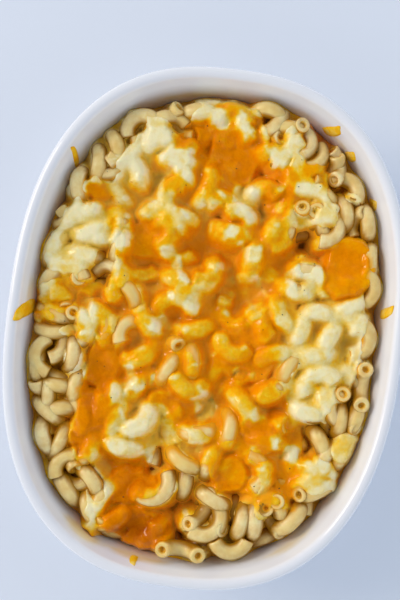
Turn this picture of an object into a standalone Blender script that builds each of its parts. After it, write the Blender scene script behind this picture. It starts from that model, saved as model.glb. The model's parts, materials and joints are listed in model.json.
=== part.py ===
# Macaroni and cheese in its oval baking dish. Blender 4.5, metres, +Z up.
# The dish is longer along Y, and the origin is under its middle, on the surface it stands on.

import math
import random
from collections import namedtuple

import bmesh
import bpy
from mathutils import Matrix, Vector
from mathutils.bvhtree import BVHTree

MM = 0.001

# Dish: a glazed oval baker with a rolled lip.
DISH_LENGTH = 252 * MM
DISH_WIDTH = 192 * MM
DISH_HEIGHT = 58 * MM
OVAL_POWER = 2.47
LIP_WIDTH = 6 * MM
WALL_THICKNESS = 4.4 * MM
WALL_SLOPE = 0.2
FLOOR_TOP = 6 * MM
CORNER_RADIUS = 13 * MM
FOOT_WIDTH = 6 * MM
FOOT_HEIGHT = 1.5 * MM
DISH_SEGMENTS = 60

# Food: a low heap that stands a little higher in the middle.
CORE_GAP = 0.4 * MM
CORE_EDGE_HEIGHT = 38.5 * MM
CORE_DOME = 3.6 * MM
CORE_SEGMENTS = 36
FOOD_CEILING = 50.4 * MM

# Elbow macaroni, cooked.
TUBE_DIAMETER = 7.8 * MM
BORE_DIAMETER = 3.8 * MM
BORE_DEPTH = 3.0 * MM
BEND_RADIUS = 8.2 * MM
TUBE_STEPS = 4
SIX_SIDED_SCALE = 1.05

# Melted cheese lying on the heap.
CHEESE_GAP = 0.35 * MM
CHEESE_SEGMENTS = 14
CHEESE_RINGS = (0.45, 0.84, 1.0)
CHEESE_EDGE_SHARE = 0.3

# Elbows that lie on their side: middle of the bend and the way its back points, in mm and degrees.
LYING_ELBOWS = (
    (-43, 97, 135), (-54, 76, 180), (-51, 67, 95), (-76, 59, -75), (-69, 17, 90), (-28, 46, 70),
    (-76, 32, 180), (-75, -25, 180), (-57, -22, 180), (-34, -11, 180), (-60, -77, 150),
    (25, -105, -90), (10, -90, -10), (27, -70, 15), (67, 5, 70), (75, 2, 0), (60, -25, 120),
    (74, 26, 0), (5, 27, 90), (24, 17, 80), (-17, 9, 95), (0, 99, 90),
)

# Elbows that arch over with both ends down: middle and the way they run.
ARCHED_ELBOWS = (
    (-57, 89, -55), (-35, 92, 80), (-22, 81, 0), (-15, 105, 10), (10, 106, -60), (23, 106, 55),
    (21, 88, -20), (43, 73, 0), (32, 96, 0), (37, 85, 90), (62, 65, -60), (-67, 65, 60),
    (-74, 44, 40), (-83, 18, 65), (-61, 37, 20), (-38, 11, -60), (-25, 15, -45), (-8, 9, -60),
    (9, 47, -10), (19, 37, 80), (46, 31, 0), (70, 18, 50), (38, 6, -35), (72, -38, 90),
    (55, -8, 0), (43, -16, 60), (54, -37, -20), (18, -50, 105), (4, -54, -10), (-2, -17, 85),
    (41, -53, -70), (66, -56, 70), (-80, -4, -5), (-80, -13, 5), (-55, -3, -75), (-12, -19, 75),
    (-31, -28, 70), (-41, -41, -70), (-80, -41, -60), (-68, -39, 10), (-65, -49, 15),
    (-75, -53, -20), (-73, -64, -65), (-46, -81, -67), (-57, -89, -35), (-45, -98, -40),
    (-3, -68, -20), (-18, -71, -40), (-9, -80, 0), (30, -93, 85), (38, -91, 75), (54, -91, 40),
    (41, -102, 40), (71, -72, 10), (17, 111, 90), (79, 40, 80), (58, -68, 20), (78, -55, 70),
)

# Elbows with an open end in view: that end, the way it faces, how steeply, and the body's twist.
OPEN_ELBOWS = (
    (-25, 106, 20, 20, 80), (37, 104, 40, 55, 60), (26, 98, 10, 35, -60), (57, 81, 200, 45, 90),
    (48, 85, 30, 40, 90), (66, 70, 150, 50, 90), (-65, -1, 30, 70, 60), (79.5, -12.5, -90, 88, 0),
    (72.5, -25, 60, 65, 30), (80, -44, -50, 30, 60), (-38, -102, 60, 40, 60), (-6, -110.5, 0, 88, 0),
    (3, -97, 150, 35, 90), (21, -97, -20, 40, -60), (46, -80.5, 90, 75, 0), (45.5, -93, 20, 70, 60),
    (57.5, -80.5, -135, 45, -60), (-74, -24, 180, 20, 80), (40.5, 65, 90, 70, 60), (47, 62, -90, 70, -60),
)

# Melted cheese, in mm and degrees.
Patch = namedtuple("Patch", "name x y half_length half_width heading thickness kind")
CHEESE_PATCHES = (
    Patch("cheddar_slab_right", 67, 37, 15, 12, 100, 4.4, "cheddar"),
    Patch("cheddar_pool_bottom", -21, -101, 19.5, 9.5, -12, 3.2, "cheddar"),
    Patch("cheddar_low_middle", -11, -41, 12.5, 9.5, -10, 3.2, "cheddar"),
    Patch("cheddar_top", 2, 84, 19, 14, 85, 3.2, "cheddar"),
    Patch("cheddar_low_left", -51, -43, 24, 10.5, 78, 3.2, "cheddar"),
    Patch("cheddar_middle", 25, -8, 23, 12.5, 80, 3.4, "cheddar"),
    Patch("cheddar_low_right", 34, -50, 13, 8.5, -35, 3.0, "cheddar"),
    Patch("cheddar_left", -33, 33, 15, 11, 25, 3.2, "cheddar"),
    Patch("cheddar_upper_right", 31, 62, 15, 7.5, 80, 3.0, "cheddar"),
    Patch("white_cheese_upper_left", -31, 66, 13.5, 10, 30, 3.0, "white_cheese"),
    Patch("white_cheese_right", 56, -10, 11, 9, 85, 3.0, "white_cheese"),
    Patch("white_cheese_low", -24, -64, 11, 8, 65, 3.0, "white_cheese"),
)

# Cheddar stuck to the inside wall: direction from the middle, height, length, width and lean.
WALL_SHREDS = (
    (134.4, 47.3, 11, 3.6, 65), (63.7, 43.6, 9, 4.6, 15), (56.0, 42.6, 6.5, 4.0, 75),
    (42.4, 42.0, 5, 3.8, 50), (11.8, 43.1, 7, 4.6, 20), (181.9, 51.0, 10, 4.6, 70),
    (259.4, 46.6, 7, 3.8, 80),
)

RANDOM_SEED = 11
EXTRA_TRIES = 500
EXTRA_SPACING = 11 * MM


def clear_scene():
    for thing in list(bpy.data.objects):
        bpy.data.objects.remove(thing)


def new_collection(name, helper=False):
    collection = bpy.data.collections.new(name)
    collection.hide_render = helper
    bpy.context.scene.collection.children.link(collection)
    return collection


def make_material(name, colour, roughness, coat=0.0):
    material = bpy.data.materials.new(name)
    material.use_nodes = True
    shader = material.node_tree.nodes["Principled BSDF"]
    shader.inputs["Base Color"].default_value = (*colour, 1)
    shader.inputs["Roughness"].default_value = roughness
    shader.inputs["Metallic"].default_value = 0
    shader.inputs["Coat Weight"].default_value = coat
    return material


def add_object(name, mesh, collection, material=None):
    thing = bpy.data.objects.new(name, mesh)
    collection.objects.link(thing)
    if material:
        mesh.materials.clear()
        mesh.materials.append(material)
    return thing


def shade_round(thing, sharp_angle=50):
    thing.data.shade_smooth()
    thing.data.set_sharp_from_angle(angle=math.radians(sharp_angle))


# Dish shape.

def inside_inset(height):
    """How far the inside wall stands in from the rim's outline at a height."""
    return LIP_WIDTH + (DISH_HEIGHT - height) * WALL_SLOPE


def oval_point(inset, turn, share=1.0):
    """A point on the dish's oval, set in from its outline; share shrinks it towards the middle."""
    across = abs(math.cos(turn)) ** OVAL_POWER + abs(math.sin(turn)) ** OVAL_POWER
    reach = share * across ** (-1 / OVAL_POWER)
    return (
        (DISH_WIDTH / 2 - inset) * math.cos(turn) * reach,
        (DISH_LENGTH / 2 - inset) * math.sin(turn) * reach,
    )


def oval_share(x, y, inset):
    """0 in the middle of the oval, 1 on its line."""
    a = abs(x) / (DISH_WIDTH / 2 - inset)
    b = abs(y) / (DISH_LENGTH / 2 - inset)
    return (a ** OVAL_POWER + b ** OVAL_POWER) ** (1 / OVAL_POWER)


def fillet(start, corner, end, steps):
    """Points of a round corner from start to end, pulled towards the corner."""
    points = []
    for i in range(steps + 1):
        t = i / steps
        points.append(tuple(
            (1 - t) ** 2 * a + 2 * t * (1 - t) * b + t ** 2 * c for a, b, c in zip(start, corner, end)
        ))
    return points


def inside_profile(gap, top):
    """(inset, height) pairs up the inside of the dish from its floor, a gap clear of it."""
    low = FLOOR_TOP + gap
    foot = inside_inset(low) + gap
    turn_end = low + CORNER_RADIUS
    corner = fillet((foot + CORNER_RADIUS, low), (foot, low), (inside_inset(turn_end) + gap, turn_end), 3)
    return corner + [(inside_inset(top) + gap, top)]


def dish_profile():
    """From the inside floor, up and over the lip, down to the recess under the foot."""
    radius = LIP_WIDTH / 2
    profile = inside_profile(0, DISH_HEIGHT - radius)
    for degrees in (45, 90, 135, 180, 225):
        angle = math.radians(degrees)
        inset = radius * (1 + math.cos(angle))
        profile.append((inset, DISH_HEIGHT - radius + radius * math.sin(angle)))
    neck = DISH_HEIGHT - 2.6 * radius
    profile.append((inside_inset(neck) - WALL_THICKNESS, neck))
    turn = FLOOR_TOP + 0.5 * CORNER_RADIUS
    outside = inside_inset(turn) - WALL_THICKNESS
    foot_outside = outside + 0.9 * CORNER_RADIUS
    profile += fillet((outside, turn), (outside + 1 * MM, FOOT_HEIGHT), (foot_outside, FOOT_HEIGHT), 3)
    profile += [
        (foot_outside + 0.6 * MM, 0),
        (foot_outside + FOOT_WIDTH, 0),
        (foot_outside + FOOT_WIDTH + 1 * MM, FOOT_HEIGHT),
    ]
    return profile


def loft(name, rings, collection):
    """Closed mesh through rings of equal length, with a flat face on the first and the last."""
    bm = bmesh.new()
    loops = [[bm.verts.new(point) for point in ring] for ring in rings]
    for low, high in zip(loops, loops[1:]):
        for i, corner in enumerate(low):
            after = (i + 1) % len(low)
            bm.faces.new((corner, low[after], high[after], high[i]))
    bm.faces.new(list(reversed(loops[0])))
    bm.faces.new(loops[-1])
    bmesh.ops.recalc_face_normals(bm, faces=bm.faces)
    mesh = bpy.data.meshes.new(name)
    bm.to_mesh(mesh)
    bm.free()
    return add_object(name, mesh, collection)


def profile_rings(profile, segments):
    rings = []
    for inset, height in profile:
        turns = [2 * math.pi * i / segments for i in range(segments)]
        rings.append([(*oval_point(inset, turn), height) for turn in turns])
    return rings


def make_dish(collection, helpers, material):
    dish = loft("dish", profile_rings(dish_profile(), DISH_SEGMENTS), collection)
    for number, shred in enumerate(WALL_SHREDS):
        make_wall_shred(number, shred, helpers)
    fuse(dish, helpers)
    dish.data.materials.clear()
    dish.data.materials.append(material)
    shade_round(dish, 40)


def make_wall_shred(number, shred, collection):
    """A melted shred of cheddar, half sunk in the inside wall."""
    direction, height, length, width, lean = shred
    turn = math.radians(direction)
    height *= MM
    inset = inside_inset(height)
    share = oval_share(math.cos(turn), math.sin(turn), inset)
    place = Vector((math.cos(turn) / share, math.sin(turn) / share, height))
    outward = Vector((math.cos(turn), math.sin(turn), 0))
    normal = Vector((-outward.x, -outward.y, WALL_SLOPE)).normalized()
    up_wall = Vector((outward.x * WALL_SLOPE, outward.y * WALL_SLOPE, 1)).normalized()
    side = up_wall.cross(normal)
    long_way = up_wall * math.sin(math.radians(lean)) + side * math.cos(math.radians(lean))
    short_way = normal.cross(long_way)
    bm = bmesh.new()
    bmesh.ops.create_uvsphere(bm, u_segments=7, v_segments=5, radius=1)
    turned = Matrix((short_way * width / 2 * MM, long_way * length / 2 * MM, normal * 1.5 * MM)).transposed()
    bmesh.ops.transform(bm, matrix=Matrix.Translation(place) @ turned.to_4x4(), verts=bm.verts)
    bmesh.ops.recalc_face_normals(bm, faces=bm.faces)
    mesh = bpy.data.meshes.new("wall_shred")
    bm.to_mesh(mesh)
    bm.free()
    add_object(f"wall_shred_{number}", mesh, collection)


# Joining.

def evaluated_mesh(thing):
    graph = bpy.context.evaluated_depsgraph_get()
    return bpy.data.meshes.new_from_object(thing.evaluated_get(graph))


def keep_largest_body(mesh):
    """Drops loose scraps and sealed hollows, which are bodies of their own."""
    bm = bmesh.new()
    bm.from_mesh(mesh)
    unseen = set(bm.verts)
    bodies = []
    while unseen:
        body = {unseen.pop()}
        edge = list(body)
        while edge:
            for link in edge.pop().link_edges:
                for vert in link.verts:
                    if vert in unseen:
                        unseen.remove(vert)
                        body.add(vert)
                        edge.append(vert)
        bodies.append(body)
    bodies.sort(key=len)
    for body in bodies[:-1]:
        bmesh.ops.delete(bm, geom=list(body), context="VERTS")
    bmesh.ops.triangulate(bm, faces=bm.faces)
    bm.to_mesh(mesh)
    bm.free()


def fuse(base, helpers):
    """Joins every helper shape to the base with one union, then removes the helpers."""
    bpy.context.view_layer.update()
    union = base.modifiers.new("fuse", "BOOLEAN")
    union.operation = "UNION"
    union.operand_type = "COLLECTION"
    union.collection = helpers
    union.solver = "EXACT"
    bpy.context.view_layer.update()
    joined = evaluated_mesh(base)
    base.modifiers.remove(union)
    base.data = joined
    for helper in list(helpers.objects):
        bpy.data.objects.remove(helper)
    keep_largest_body(joined)


# Food heap.

def core_height(x, y):
    """Top of the heap's body: a low dome with soft lumps."""
    share = min(1, oval_share(x, y, inside_inset(CORE_EDGE_HEIGHT)))
    lumps = math.sin(x / (7.1 * MM) + 0.6) * math.cos(y / (8.3 * MM) + 0.3)
    slow = math.sin(x / (19 * MM) + 2.1) * math.sin(y / (23 * MM) + 0.8)
    fade = 1 - share ** 6
    return CORE_EDGE_HEIGHT + CORE_DOME * (1 - share ** 2) + (0.5 * lumps + 0.9 * slow) * fade * MM


def make_core(collection):
    rings = profile_rings(inside_profile(CORE_GAP, CORE_EDGE_HEIGHT), CORE_SEGMENTS)
    inset = inside_inset(CORE_EDGE_HEIGHT) + CORE_GAP
    for share in (0.93, 0.83, 0.72, 0.6, 0.48, 0.36, 0.24, 0.12):
        ring = []
        for i in range(CORE_SEGMENTS):
            x, y = oval_point(inset, 2 * math.pi * i / CORE_SEGMENTS, share)
            ring.append((x, y, core_height(x, y)))
        rings.append(ring)
    return loft("macaroni", rings, collection)


# Melted cheese.

def cheese_reach(angle, number):
    """How far the patch's uneven edge is from its middle, as a share of its half sizes."""
    wave = 0.07 * math.sin(2 * angle + number) + 0.06 * math.sin(3 * angle + 2.3 * number)
    return 1 + wave + 0.04 * math.sin(5 * angle + 1.7 * number)


def cheese_place(patch, angle, share, number):
    """A point of the patch seen from above, share of the way from its middle to its edge."""
    reach = share * cheese_reach(angle, number)
    along = patch.half_length * MM * math.cos(angle) * reach
    across = patch.half_width * MM * math.sin(angle) * reach
    turn = math.radians(patch.heading)
    return (
        patch.x * MM + along * math.cos(turn) - across * math.sin(turn),
        patch.y * MM + along * math.sin(turn) + across * math.cos(turn),
    )


def inside_cheese(x, y, margin):
    """True where a place is over a cheese patch or within a margin of it."""
    for number, patch in enumerate(CHEESE_PATCHES):
        turn = math.radians(patch.heading)
        dx = x - patch.x * MM
        dy = y - patch.y * MM
        along = (dx * math.cos(turn) + dy * math.sin(turn)) / (patch.half_length * MM + margin)
        across = (dy * math.cos(turn) - dx * math.sin(turn)) / (patch.half_width * MM + margin)
        if math.hypot(along, across) < cheese_reach(math.atan2(across, along), number):
            return True
    return False


def resting_height(surface, x, y):
    """Height that clears the faceted heap all round a point."""
    highest = 0
    for dx, dy in ((0, 0), (3, 0), (-3, 0), (0, 3), (0, -3), (2, 2), (-2, 2), (2, -2), (-2, -2)):
        start = Vector((x + dx * MM, y + dy * MM, 1))
        hit = surface.ray_cast(start, Vector((0, 0, -1)))[0]
        if hit:
            highest = max(highest, hit.z)
    return highest + CHEESE_GAP


def make_cheese(number, patch, surface, collection, materials):
    """A wavy sheet that follows the heap, thickened upwards and thin at its edge."""
    bm = bmesh.new()
    middle = bm.verts.new((patch.x * MM, patch.y * MM, resting_height(surface, patch.x * MM, patch.y * MM)))
    loops = []
    for share in CHEESE_RINGS:
        loop = []
        for i in range(CHEESE_SEGMENTS):
            place = cheese_place(patch, 2 * math.pi * i / CHEESE_SEGMENTS, share, number)
            loop.append(bm.verts.new((*place, resting_height(surface, *place))))
        loops.append(loop)
    for i in range(CHEESE_SEGMENTS):
        after = (i + 1) % CHEESE_SEGMENTS
        bm.faces.new((middle, loops[0][i], loops[0][after]))
        for low, high in zip(loops, loops[1:]):
            bm.faces.new((low[i], high[i], high[after]))
            bm.faces.new((low[i], high[after], low[after]))
    bm.verts.index_update()
    edge = [vert.index for vert in loops[-1]]
    inner = [vert.index for vert in bm.verts if vert.index not in edge]
    mesh = bpy.data.meshes.new(patch.name)
    bm.to_mesh(mesh)
    bm.free()
    sheet = add_object(patch.name, mesh, collection, materials[patch.kind])
    group = sheet.vertex_groups.new(name="thickness")
    group.add(edge, CHEESE_EDGE_SHARE, "REPLACE")
    group.add(inner, 1.0, "REPLACE")
    solid = sheet.modifiers.new("thickness", "SOLIDIFY")
    solid.thickness = patch.thickness * MM
    solid.offset = 1
    solid.use_even_offset = False
    solid.vertex_group = group.name
    solid.thickness_vertex_group = 0
    shade_round(sheet, 70)


# Elbow macaroni.

class Elbow:
    """A bent tube: its path is part of a circle about centre, in the plane of first and second."""

    def __init__(self, centre, first, second, start, end, radius, open_ends):
        self.centre = Vector(centre)
        self.first = Vector(first)
        self.second = Vector(second)
        self.start = start
        self.end = end
        self.radius = radius
        self.open_ends = open_ends

    def path(self, steps):
        points = []
        for i in range(steps + 1):
            angle = self.start + (self.end - self.start) * i / steps
            arm = self.first * math.cos(angle) + self.second * math.sin(angle)
            points.append(self.centre + arm * self.radius)
        return points


def surface_height(place):
    return core_height(place[0] * MM, place[1] * MM)


def lying_elbow(row, draw):
    x, y, heading = row
    back = math.radians(heading)
    tilt = math.radians(draw.uniform(-10, 10))
    half = math.radians(draw.uniform(66, 84))
    centre = (x * MM, y * MM, surface_height(row) + draw.uniform(1.2, 2.6) * MM)
    first = (math.cos(back), math.sin(back), 0)
    second = (-math.sin(back) * math.cos(tilt), math.cos(back) * math.cos(tilt), math.sin(tilt))
    radius = BEND_RADIUS * draw.uniform(0.92, 1.08)
    return Elbow(centre, first, second, -half, half, radius, True)


def arched_elbow(row, draw):
    x, y, heading = row
    along = math.radians(heading)
    lean = math.radians(draw.uniform(-24, 24))
    radius = BEND_RADIUS * draw.uniform(1.0, 1.2)
    first = (-math.sin(along) * math.sin(lean), math.cos(along) * math.sin(lean), math.cos(lean))
    second = (math.cos(along), math.sin(along), 0)
    top = surface_height(row) + draw.uniform(2.2, 4.2) * MM
    centre = Vector((x * MM, y * MM, top)) - Vector(first) * radius
    half = math.radians(72)
    return Elbow(centre, first, second, -half, half, radius, False)


def open_elbow(row, draw):
    x, y, azimuth, steepness, twist = row
    azimuth = math.radians(azimuth)
    steepness = math.radians(steepness)
    twist = math.radians(twist)
    facing = Vector((
        math.cos(steepness) * math.cos(azimuth),
        math.cos(steepness) * math.sin(azimuth),
        math.sin(steepness),
    ))
    inward = -facing
    below = Vector((
        math.sin(steepness) * math.cos(azimuth),
        math.sin(steepness) * math.sin(azimuth),
        -math.cos(steepness),
    ))
    bend = below * math.cos(twist) + inward.cross(below) * math.sin(twist)
    radius = BEND_RADIUS * draw.uniform(0.95, 1.05)
    end = Vector((x * MM, y * MM, surface_height(row) + 4.2 * MM))
    span = math.radians(draw.uniform(145, 170))
    return Elbow(end + bend * radius, -bend, inward, 0, span, radius, True)


def move_clear(elbow):
    """Moves an elbow inwards until it clears the dish, and down to clear the ceiling."""
    tube = TUBE_DIAMETER / 2 * SIX_SIDED_SCALE
    for _ in range(12):
        worst = 0
        for point in elbow.path(12):
            share = oval_share(point.x, point.y, inside_inset(point.z))
            reach = math.hypot(point.x, point.y)
            room = (1 / max(share, 0.05) - 1) * reach * 0.93
            worst = max(worst, tube + CORE_GAP + 0.3 * MM - room)
        if worst <= 0:
            break
        inward = Vector((-elbow.centre.x, -elbow.centre.y, 0)).normalized()
        elbow.centre += inward * (worst + 0.2 * MM)
    highest = max(point.z for point in elbow.path(12)) + tube
    elbow.centre.z -= max(0, highest - FOOD_CEILING)


def crosses_cheese(elbow):
    tube = TUBE_DIAMETER / 2 * SIX_SIDED_SCALE
    for point in elbow.path(10):
        if point.z + tube < core_height(point.x, point.y) - 1 * MM:
            continue
        if inside_cheese(point.x, point.y, tube + 0.8 * MM):
            return True
    return False


def sinks_through_floor(elbow):
    return min(point.z for point in elbow.path(10)) < FLOOR_TOP + TUBE_DIAMETER


def end_caps(bm):
    """The tube's two flat ends, each made one face."""
    pieces = [face for face in bm.faces if len(face.verts) == 3]
    return bmesh.ops.dissolve_faces(bm, faces=pieces)["region"]


def hollow_end(bm, cap):
    """Opens a tube's end: a flat rim round a bore."""
    wall = (TUBE_DIAMETER - BORE_DIAMETER) / 2
    bmesh.ops.inset_region(bm, faces=[cap], thickness=wall)
    inward = -cap.normal * BORE_DEPTH
    pushed = bmesh.ops.extrude_discrete_faces(bm, faces=[cap])["faces"][0]
    bmesh.ops.translate(bm, vec=inward, verts=pushed.verts)


def is_in_view(elbow, cap):
    """True for an end that lies clear of the heap's body, where its bore shows."""
    place = cap.calc_center_median()
    return elbow.open_ends and place.z > core_height(place.x, place.y)


def make_elbow(number, elbow, collection):
    points = elbow.path(TUBE_STEPS)
    curve = bpy.data.curves.new("elbow", "CURVE")
    curve.dimensions = "3D"
    curve.bevel_depth = TUBE_DIAMETER / 2 * SIX_SIDED_SCALE
    curve.bevel_resolution = 1
    curve.use_fill_caps = True
    spline = curve.splines.new("POLY")
    spline.points.add(len(points) - 1)
    for spline_point, point in zip(spline.points, points):
        spline_point.co = (*point, 1)
    guide = add_object("elbow_guide", curve, collection)
    bpy.context.view_layer.update()
    mesh = evaluated_mesh(guide)
    bpy.data.objects.remove(guide)
    bm = bmesh.new()
    bm.from_mesh(mesh)
    bmesh.ops.remove_doubles(bm, verts=bm.verts, dist=0.001 * MM)
    bmesh.ops.recalc_face_normals(bm, faces=bm.faces)
    for cap in end_caps(bm):
        if is_in_view(elbow, cap):
            hollow_end(bm, cap)
    bm.to_mesh(mesh)
    bm.free()
    add_object(f"elbow_{number}", mesh, collection)


def extra_elbows(taken, draw):
    """More elbows on their sides where the heap is still bare."""
    middles = [elbow.centre.copy() for elbow in taken]
    extras = []
    for _ in range(EXTRA_TRIES):
        turn = draw.uniform(0, 2 * math.pi)
        share = math.sqrt(draw.uniform(0, 1))
        x, y = oval_point(inside_inset(CORE_EDGE_HEIGHT) + 14 * MM, turn, share)
        heading = draw.uniform(-180, 180)
        make = draw.choice((lying_elbow, arched_elbow))
        elbow = make((x / MM, y / MM, heading), draw)
        if any(math.hypot(x - m.x, y - m.y) < EXTRA_SPACING for m in middles):
            continue
        move_clear(elbow)
        if crosses_cheese(elbow):
            continue
        middles.append(Vector((x, y, 0)))
        extras.append(elbow)
    return extras


def all_elbows():
    draw = random.Random(RANDOM_SEED)
    elbows = []
    for rows, make in ((LYING_ELBOWS, lying_elbow), (ARCHED_ELBOWS, arched_elbow), (OPEN_ELBOWS, open_elbow)):
        for row in rows:
            elbow = make(row, draw)
            move_clear(elbow)
            if crosses_cheese(elbow) or sinks_through_floor(elbow):
                continue
            elbows.append(elbow)
    return elbows + extra_elbows(elbows, draw)


def make_food(collection, helpers, materials):
    core = make_core(collection)
    bpy.context.view_layer.update()
    surface = BVHTree.FromObject(core, bpy.context.evaluated_depsgraph_get())
    for number, patch in enumerate(CHEESE_PATCHES):
        make_cheese(number, patch, surface, collection, materials)
    elbows = all_elbows()
    for number, elbow in enumerate(elbows):
        make_elbow(number, elbow, helpers)
    fuse(core, helpers)
    core.data.materials.clear()
    core.data.materials.append(materials["pasta"])
    shade_round(core, 55)
    print(f"{len(elbows)} elbows, {len(core.data.polygons)} triangles in the macaroni")


def main():
    clear_scene()
    collection = new_collection("macaroni_and_cheese")
    helpers = new_collection("shapes_to_fuse", helper=True)
    materials = {
        "glaze": make_material("glazed stoneware", (0.83, 0.83, 0.82), 0.15, 0.6),
        "pasta": make_material("cooked macaroni", (0.80, 0.62, 0.31), 0.35, 0.3),
        "cheddar": make_material("melted cheddar", (0.80, 0.33, 0.02), 0.32, 0.4),
        "white_cheese": make_material("melted white cheese", (0.82, 0.66, 0.32), 0.35, 0.3),
    }
    make_dish(collection, helpers, materials["glaze"])
    make_food(collection, helpers, materials)


main()
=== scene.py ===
# Macaroni and cheese in its oval baking dish: the looks. Blender 4.5, metres, +Z up, sizes below in mm.
import json
import math

import bmesh
import bpy
import numpy as np
from mathutils import Matrix, Vector

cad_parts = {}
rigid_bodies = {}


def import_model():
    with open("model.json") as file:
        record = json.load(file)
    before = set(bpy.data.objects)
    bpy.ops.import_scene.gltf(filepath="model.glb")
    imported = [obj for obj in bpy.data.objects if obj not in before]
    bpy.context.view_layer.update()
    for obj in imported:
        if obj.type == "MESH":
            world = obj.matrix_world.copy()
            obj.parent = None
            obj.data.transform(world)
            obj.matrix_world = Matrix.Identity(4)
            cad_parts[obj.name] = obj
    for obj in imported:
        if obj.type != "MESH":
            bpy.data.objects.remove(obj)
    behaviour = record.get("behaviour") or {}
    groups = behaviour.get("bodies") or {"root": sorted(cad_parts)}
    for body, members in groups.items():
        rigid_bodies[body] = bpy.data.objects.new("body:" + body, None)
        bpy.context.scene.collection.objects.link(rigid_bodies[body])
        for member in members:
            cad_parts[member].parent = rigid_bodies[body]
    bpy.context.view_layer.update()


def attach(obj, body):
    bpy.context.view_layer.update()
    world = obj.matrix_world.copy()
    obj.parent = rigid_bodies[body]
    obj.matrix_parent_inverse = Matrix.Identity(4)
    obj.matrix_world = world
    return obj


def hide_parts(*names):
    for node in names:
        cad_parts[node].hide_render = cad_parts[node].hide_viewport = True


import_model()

MM = 0.001

# Dish: a glazed oval baker with a rolled lip.
DISH_LENGTH = 252
DISH_WIDTH = 192
DISH_HEIGHT = 58
OVAL_POWER = 2.47
LIP_WIDTH = 6
WALL_THICKNESS = 4.4
WALL_SLOPE = 0.2
FLOOR_TOP = 6
CORNER_RADIUS = 13
FOOT_WIDTH = 6
FOOT_HEIGHT = 1.5
DISH_SEGMENTS = 180
LIP_STEPS = 12
CORNER_STEPS = 7

# Elbow macaroni, cooked.
TUBE_RADIUS = 4.15
BORE_RADIUS = 1.65
BORE_DEPTH = 2.8
BEND_RADIUS = 8.2
ELBOW_KINDS = 10
TUBE_UNEVENNESS = 0.35
TUBE_WAVE = 7.0
ELBOW_SEED = 3
TONE_SEED = 8
RIM_SWELL = 0.35
RIM_SHARE = 0.82
# An eight-sided tube shrinks to this share when it is rounded.
ROUNDING_SHRINK = 0.902

# How the heap is filled.
HEAP_FLOOR = 27.0
FOOD_CEILING = 50.2
PRESSED_IN = 0.7
POUR_STEP = 1.0
POUR_SEED = 5
LOWER_ELBOWS = 150
LOWER_SPACING = 9.0
LOWER_TRIES = 4000
LOWER_INSET = 19
# How each kind of placed elbow settles: how many poses it tries, and how far those wander, tilt and swing
# from the wished one.
SETTLING = {
    "lower": (30, 2.5, 22, 25),
    "lying": (30, 1.0, 12, 6),
    "open": (16, 0.6, 7, 6),
    "arched": (30, 1.0, 14, 6),
    "upturned": (8, 0.4, 3, 3),
}
# What a mm of wandering counts against a mm of height.
WANDER_COST = 0.25
# The elbows keep this far from the wall, as it stands at this height.
WALL_CLEARANCE = 0.5
WALL_CLEARANCE_HEIGHT = 43
WALL_SHARE = 0.992
# An elbow with fewer cells of the sheet's grid in view is left out.
FEWEST_CELLS = 15
# How bare an elbow is by its dress.
BARENESS = (0, 1, 1.25, 1.25)

# The melted cheese is a sheet over the heap, measured on a fine grid.
SHEET_STEP = 0.7
SHEET_LOWEST = 33.0
STEEPEST = 2.2
SOFT_JOIN = 0.8
LUMP_HEIGHT = 0.36
DAB_BREAK = 1.7
WALL_SAUCE = 3.3
DIMPLE_DEPTH = 2.6
# Painted shade, counted as mm of depth: what a gap adds, and what a tube's steep side adds.
GAP_SHADE = 4.5
SIDE_SHADE = 7.5
BARE_SHARE = 0.38
# Height of the food at the wall.
FOOD_EDGE = 44
# Depth, which sets the painted shade and the dip colour, is told against the surface evened out this widely,
# up to the deepest that counts.
SURROUNDINGS = 5
DEEPEST = 9

# Elbows that lie on their side: middle of the bend, the way its back points, and its dress.
# Dress: 0 is coated where the cheese is, 1 shows pale through a thin coat there, 2 is bare for the most
# part, and 3 is bare all over, as the ones with an open end up are.
LYING_ELBOWS = (
    (-44, 96, 120, 1), (-51, 69, 60, 0), (-75, 57, -75, 1), (-70, 13, 90, 0), (-76, -25, 180, 1),
    (-58, -79, 150, 1), (25, -104, -90, 1), (11, -94, -50, 1), (67, 5, 70, 0), (60, -25, 120, 0),
    (30, -69, 10, 2), (-35, -9, 150, 2), (74, 2, 0, 1), (73, 27, 0, 1), (60, 73, 50, 1), (0, 99, 90, 0),
    (-28, 46, 70, 0), (-76, 32, 180, 0), (-55, -8, 20, 0), (46, 24, 60, 0),
)

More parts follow.
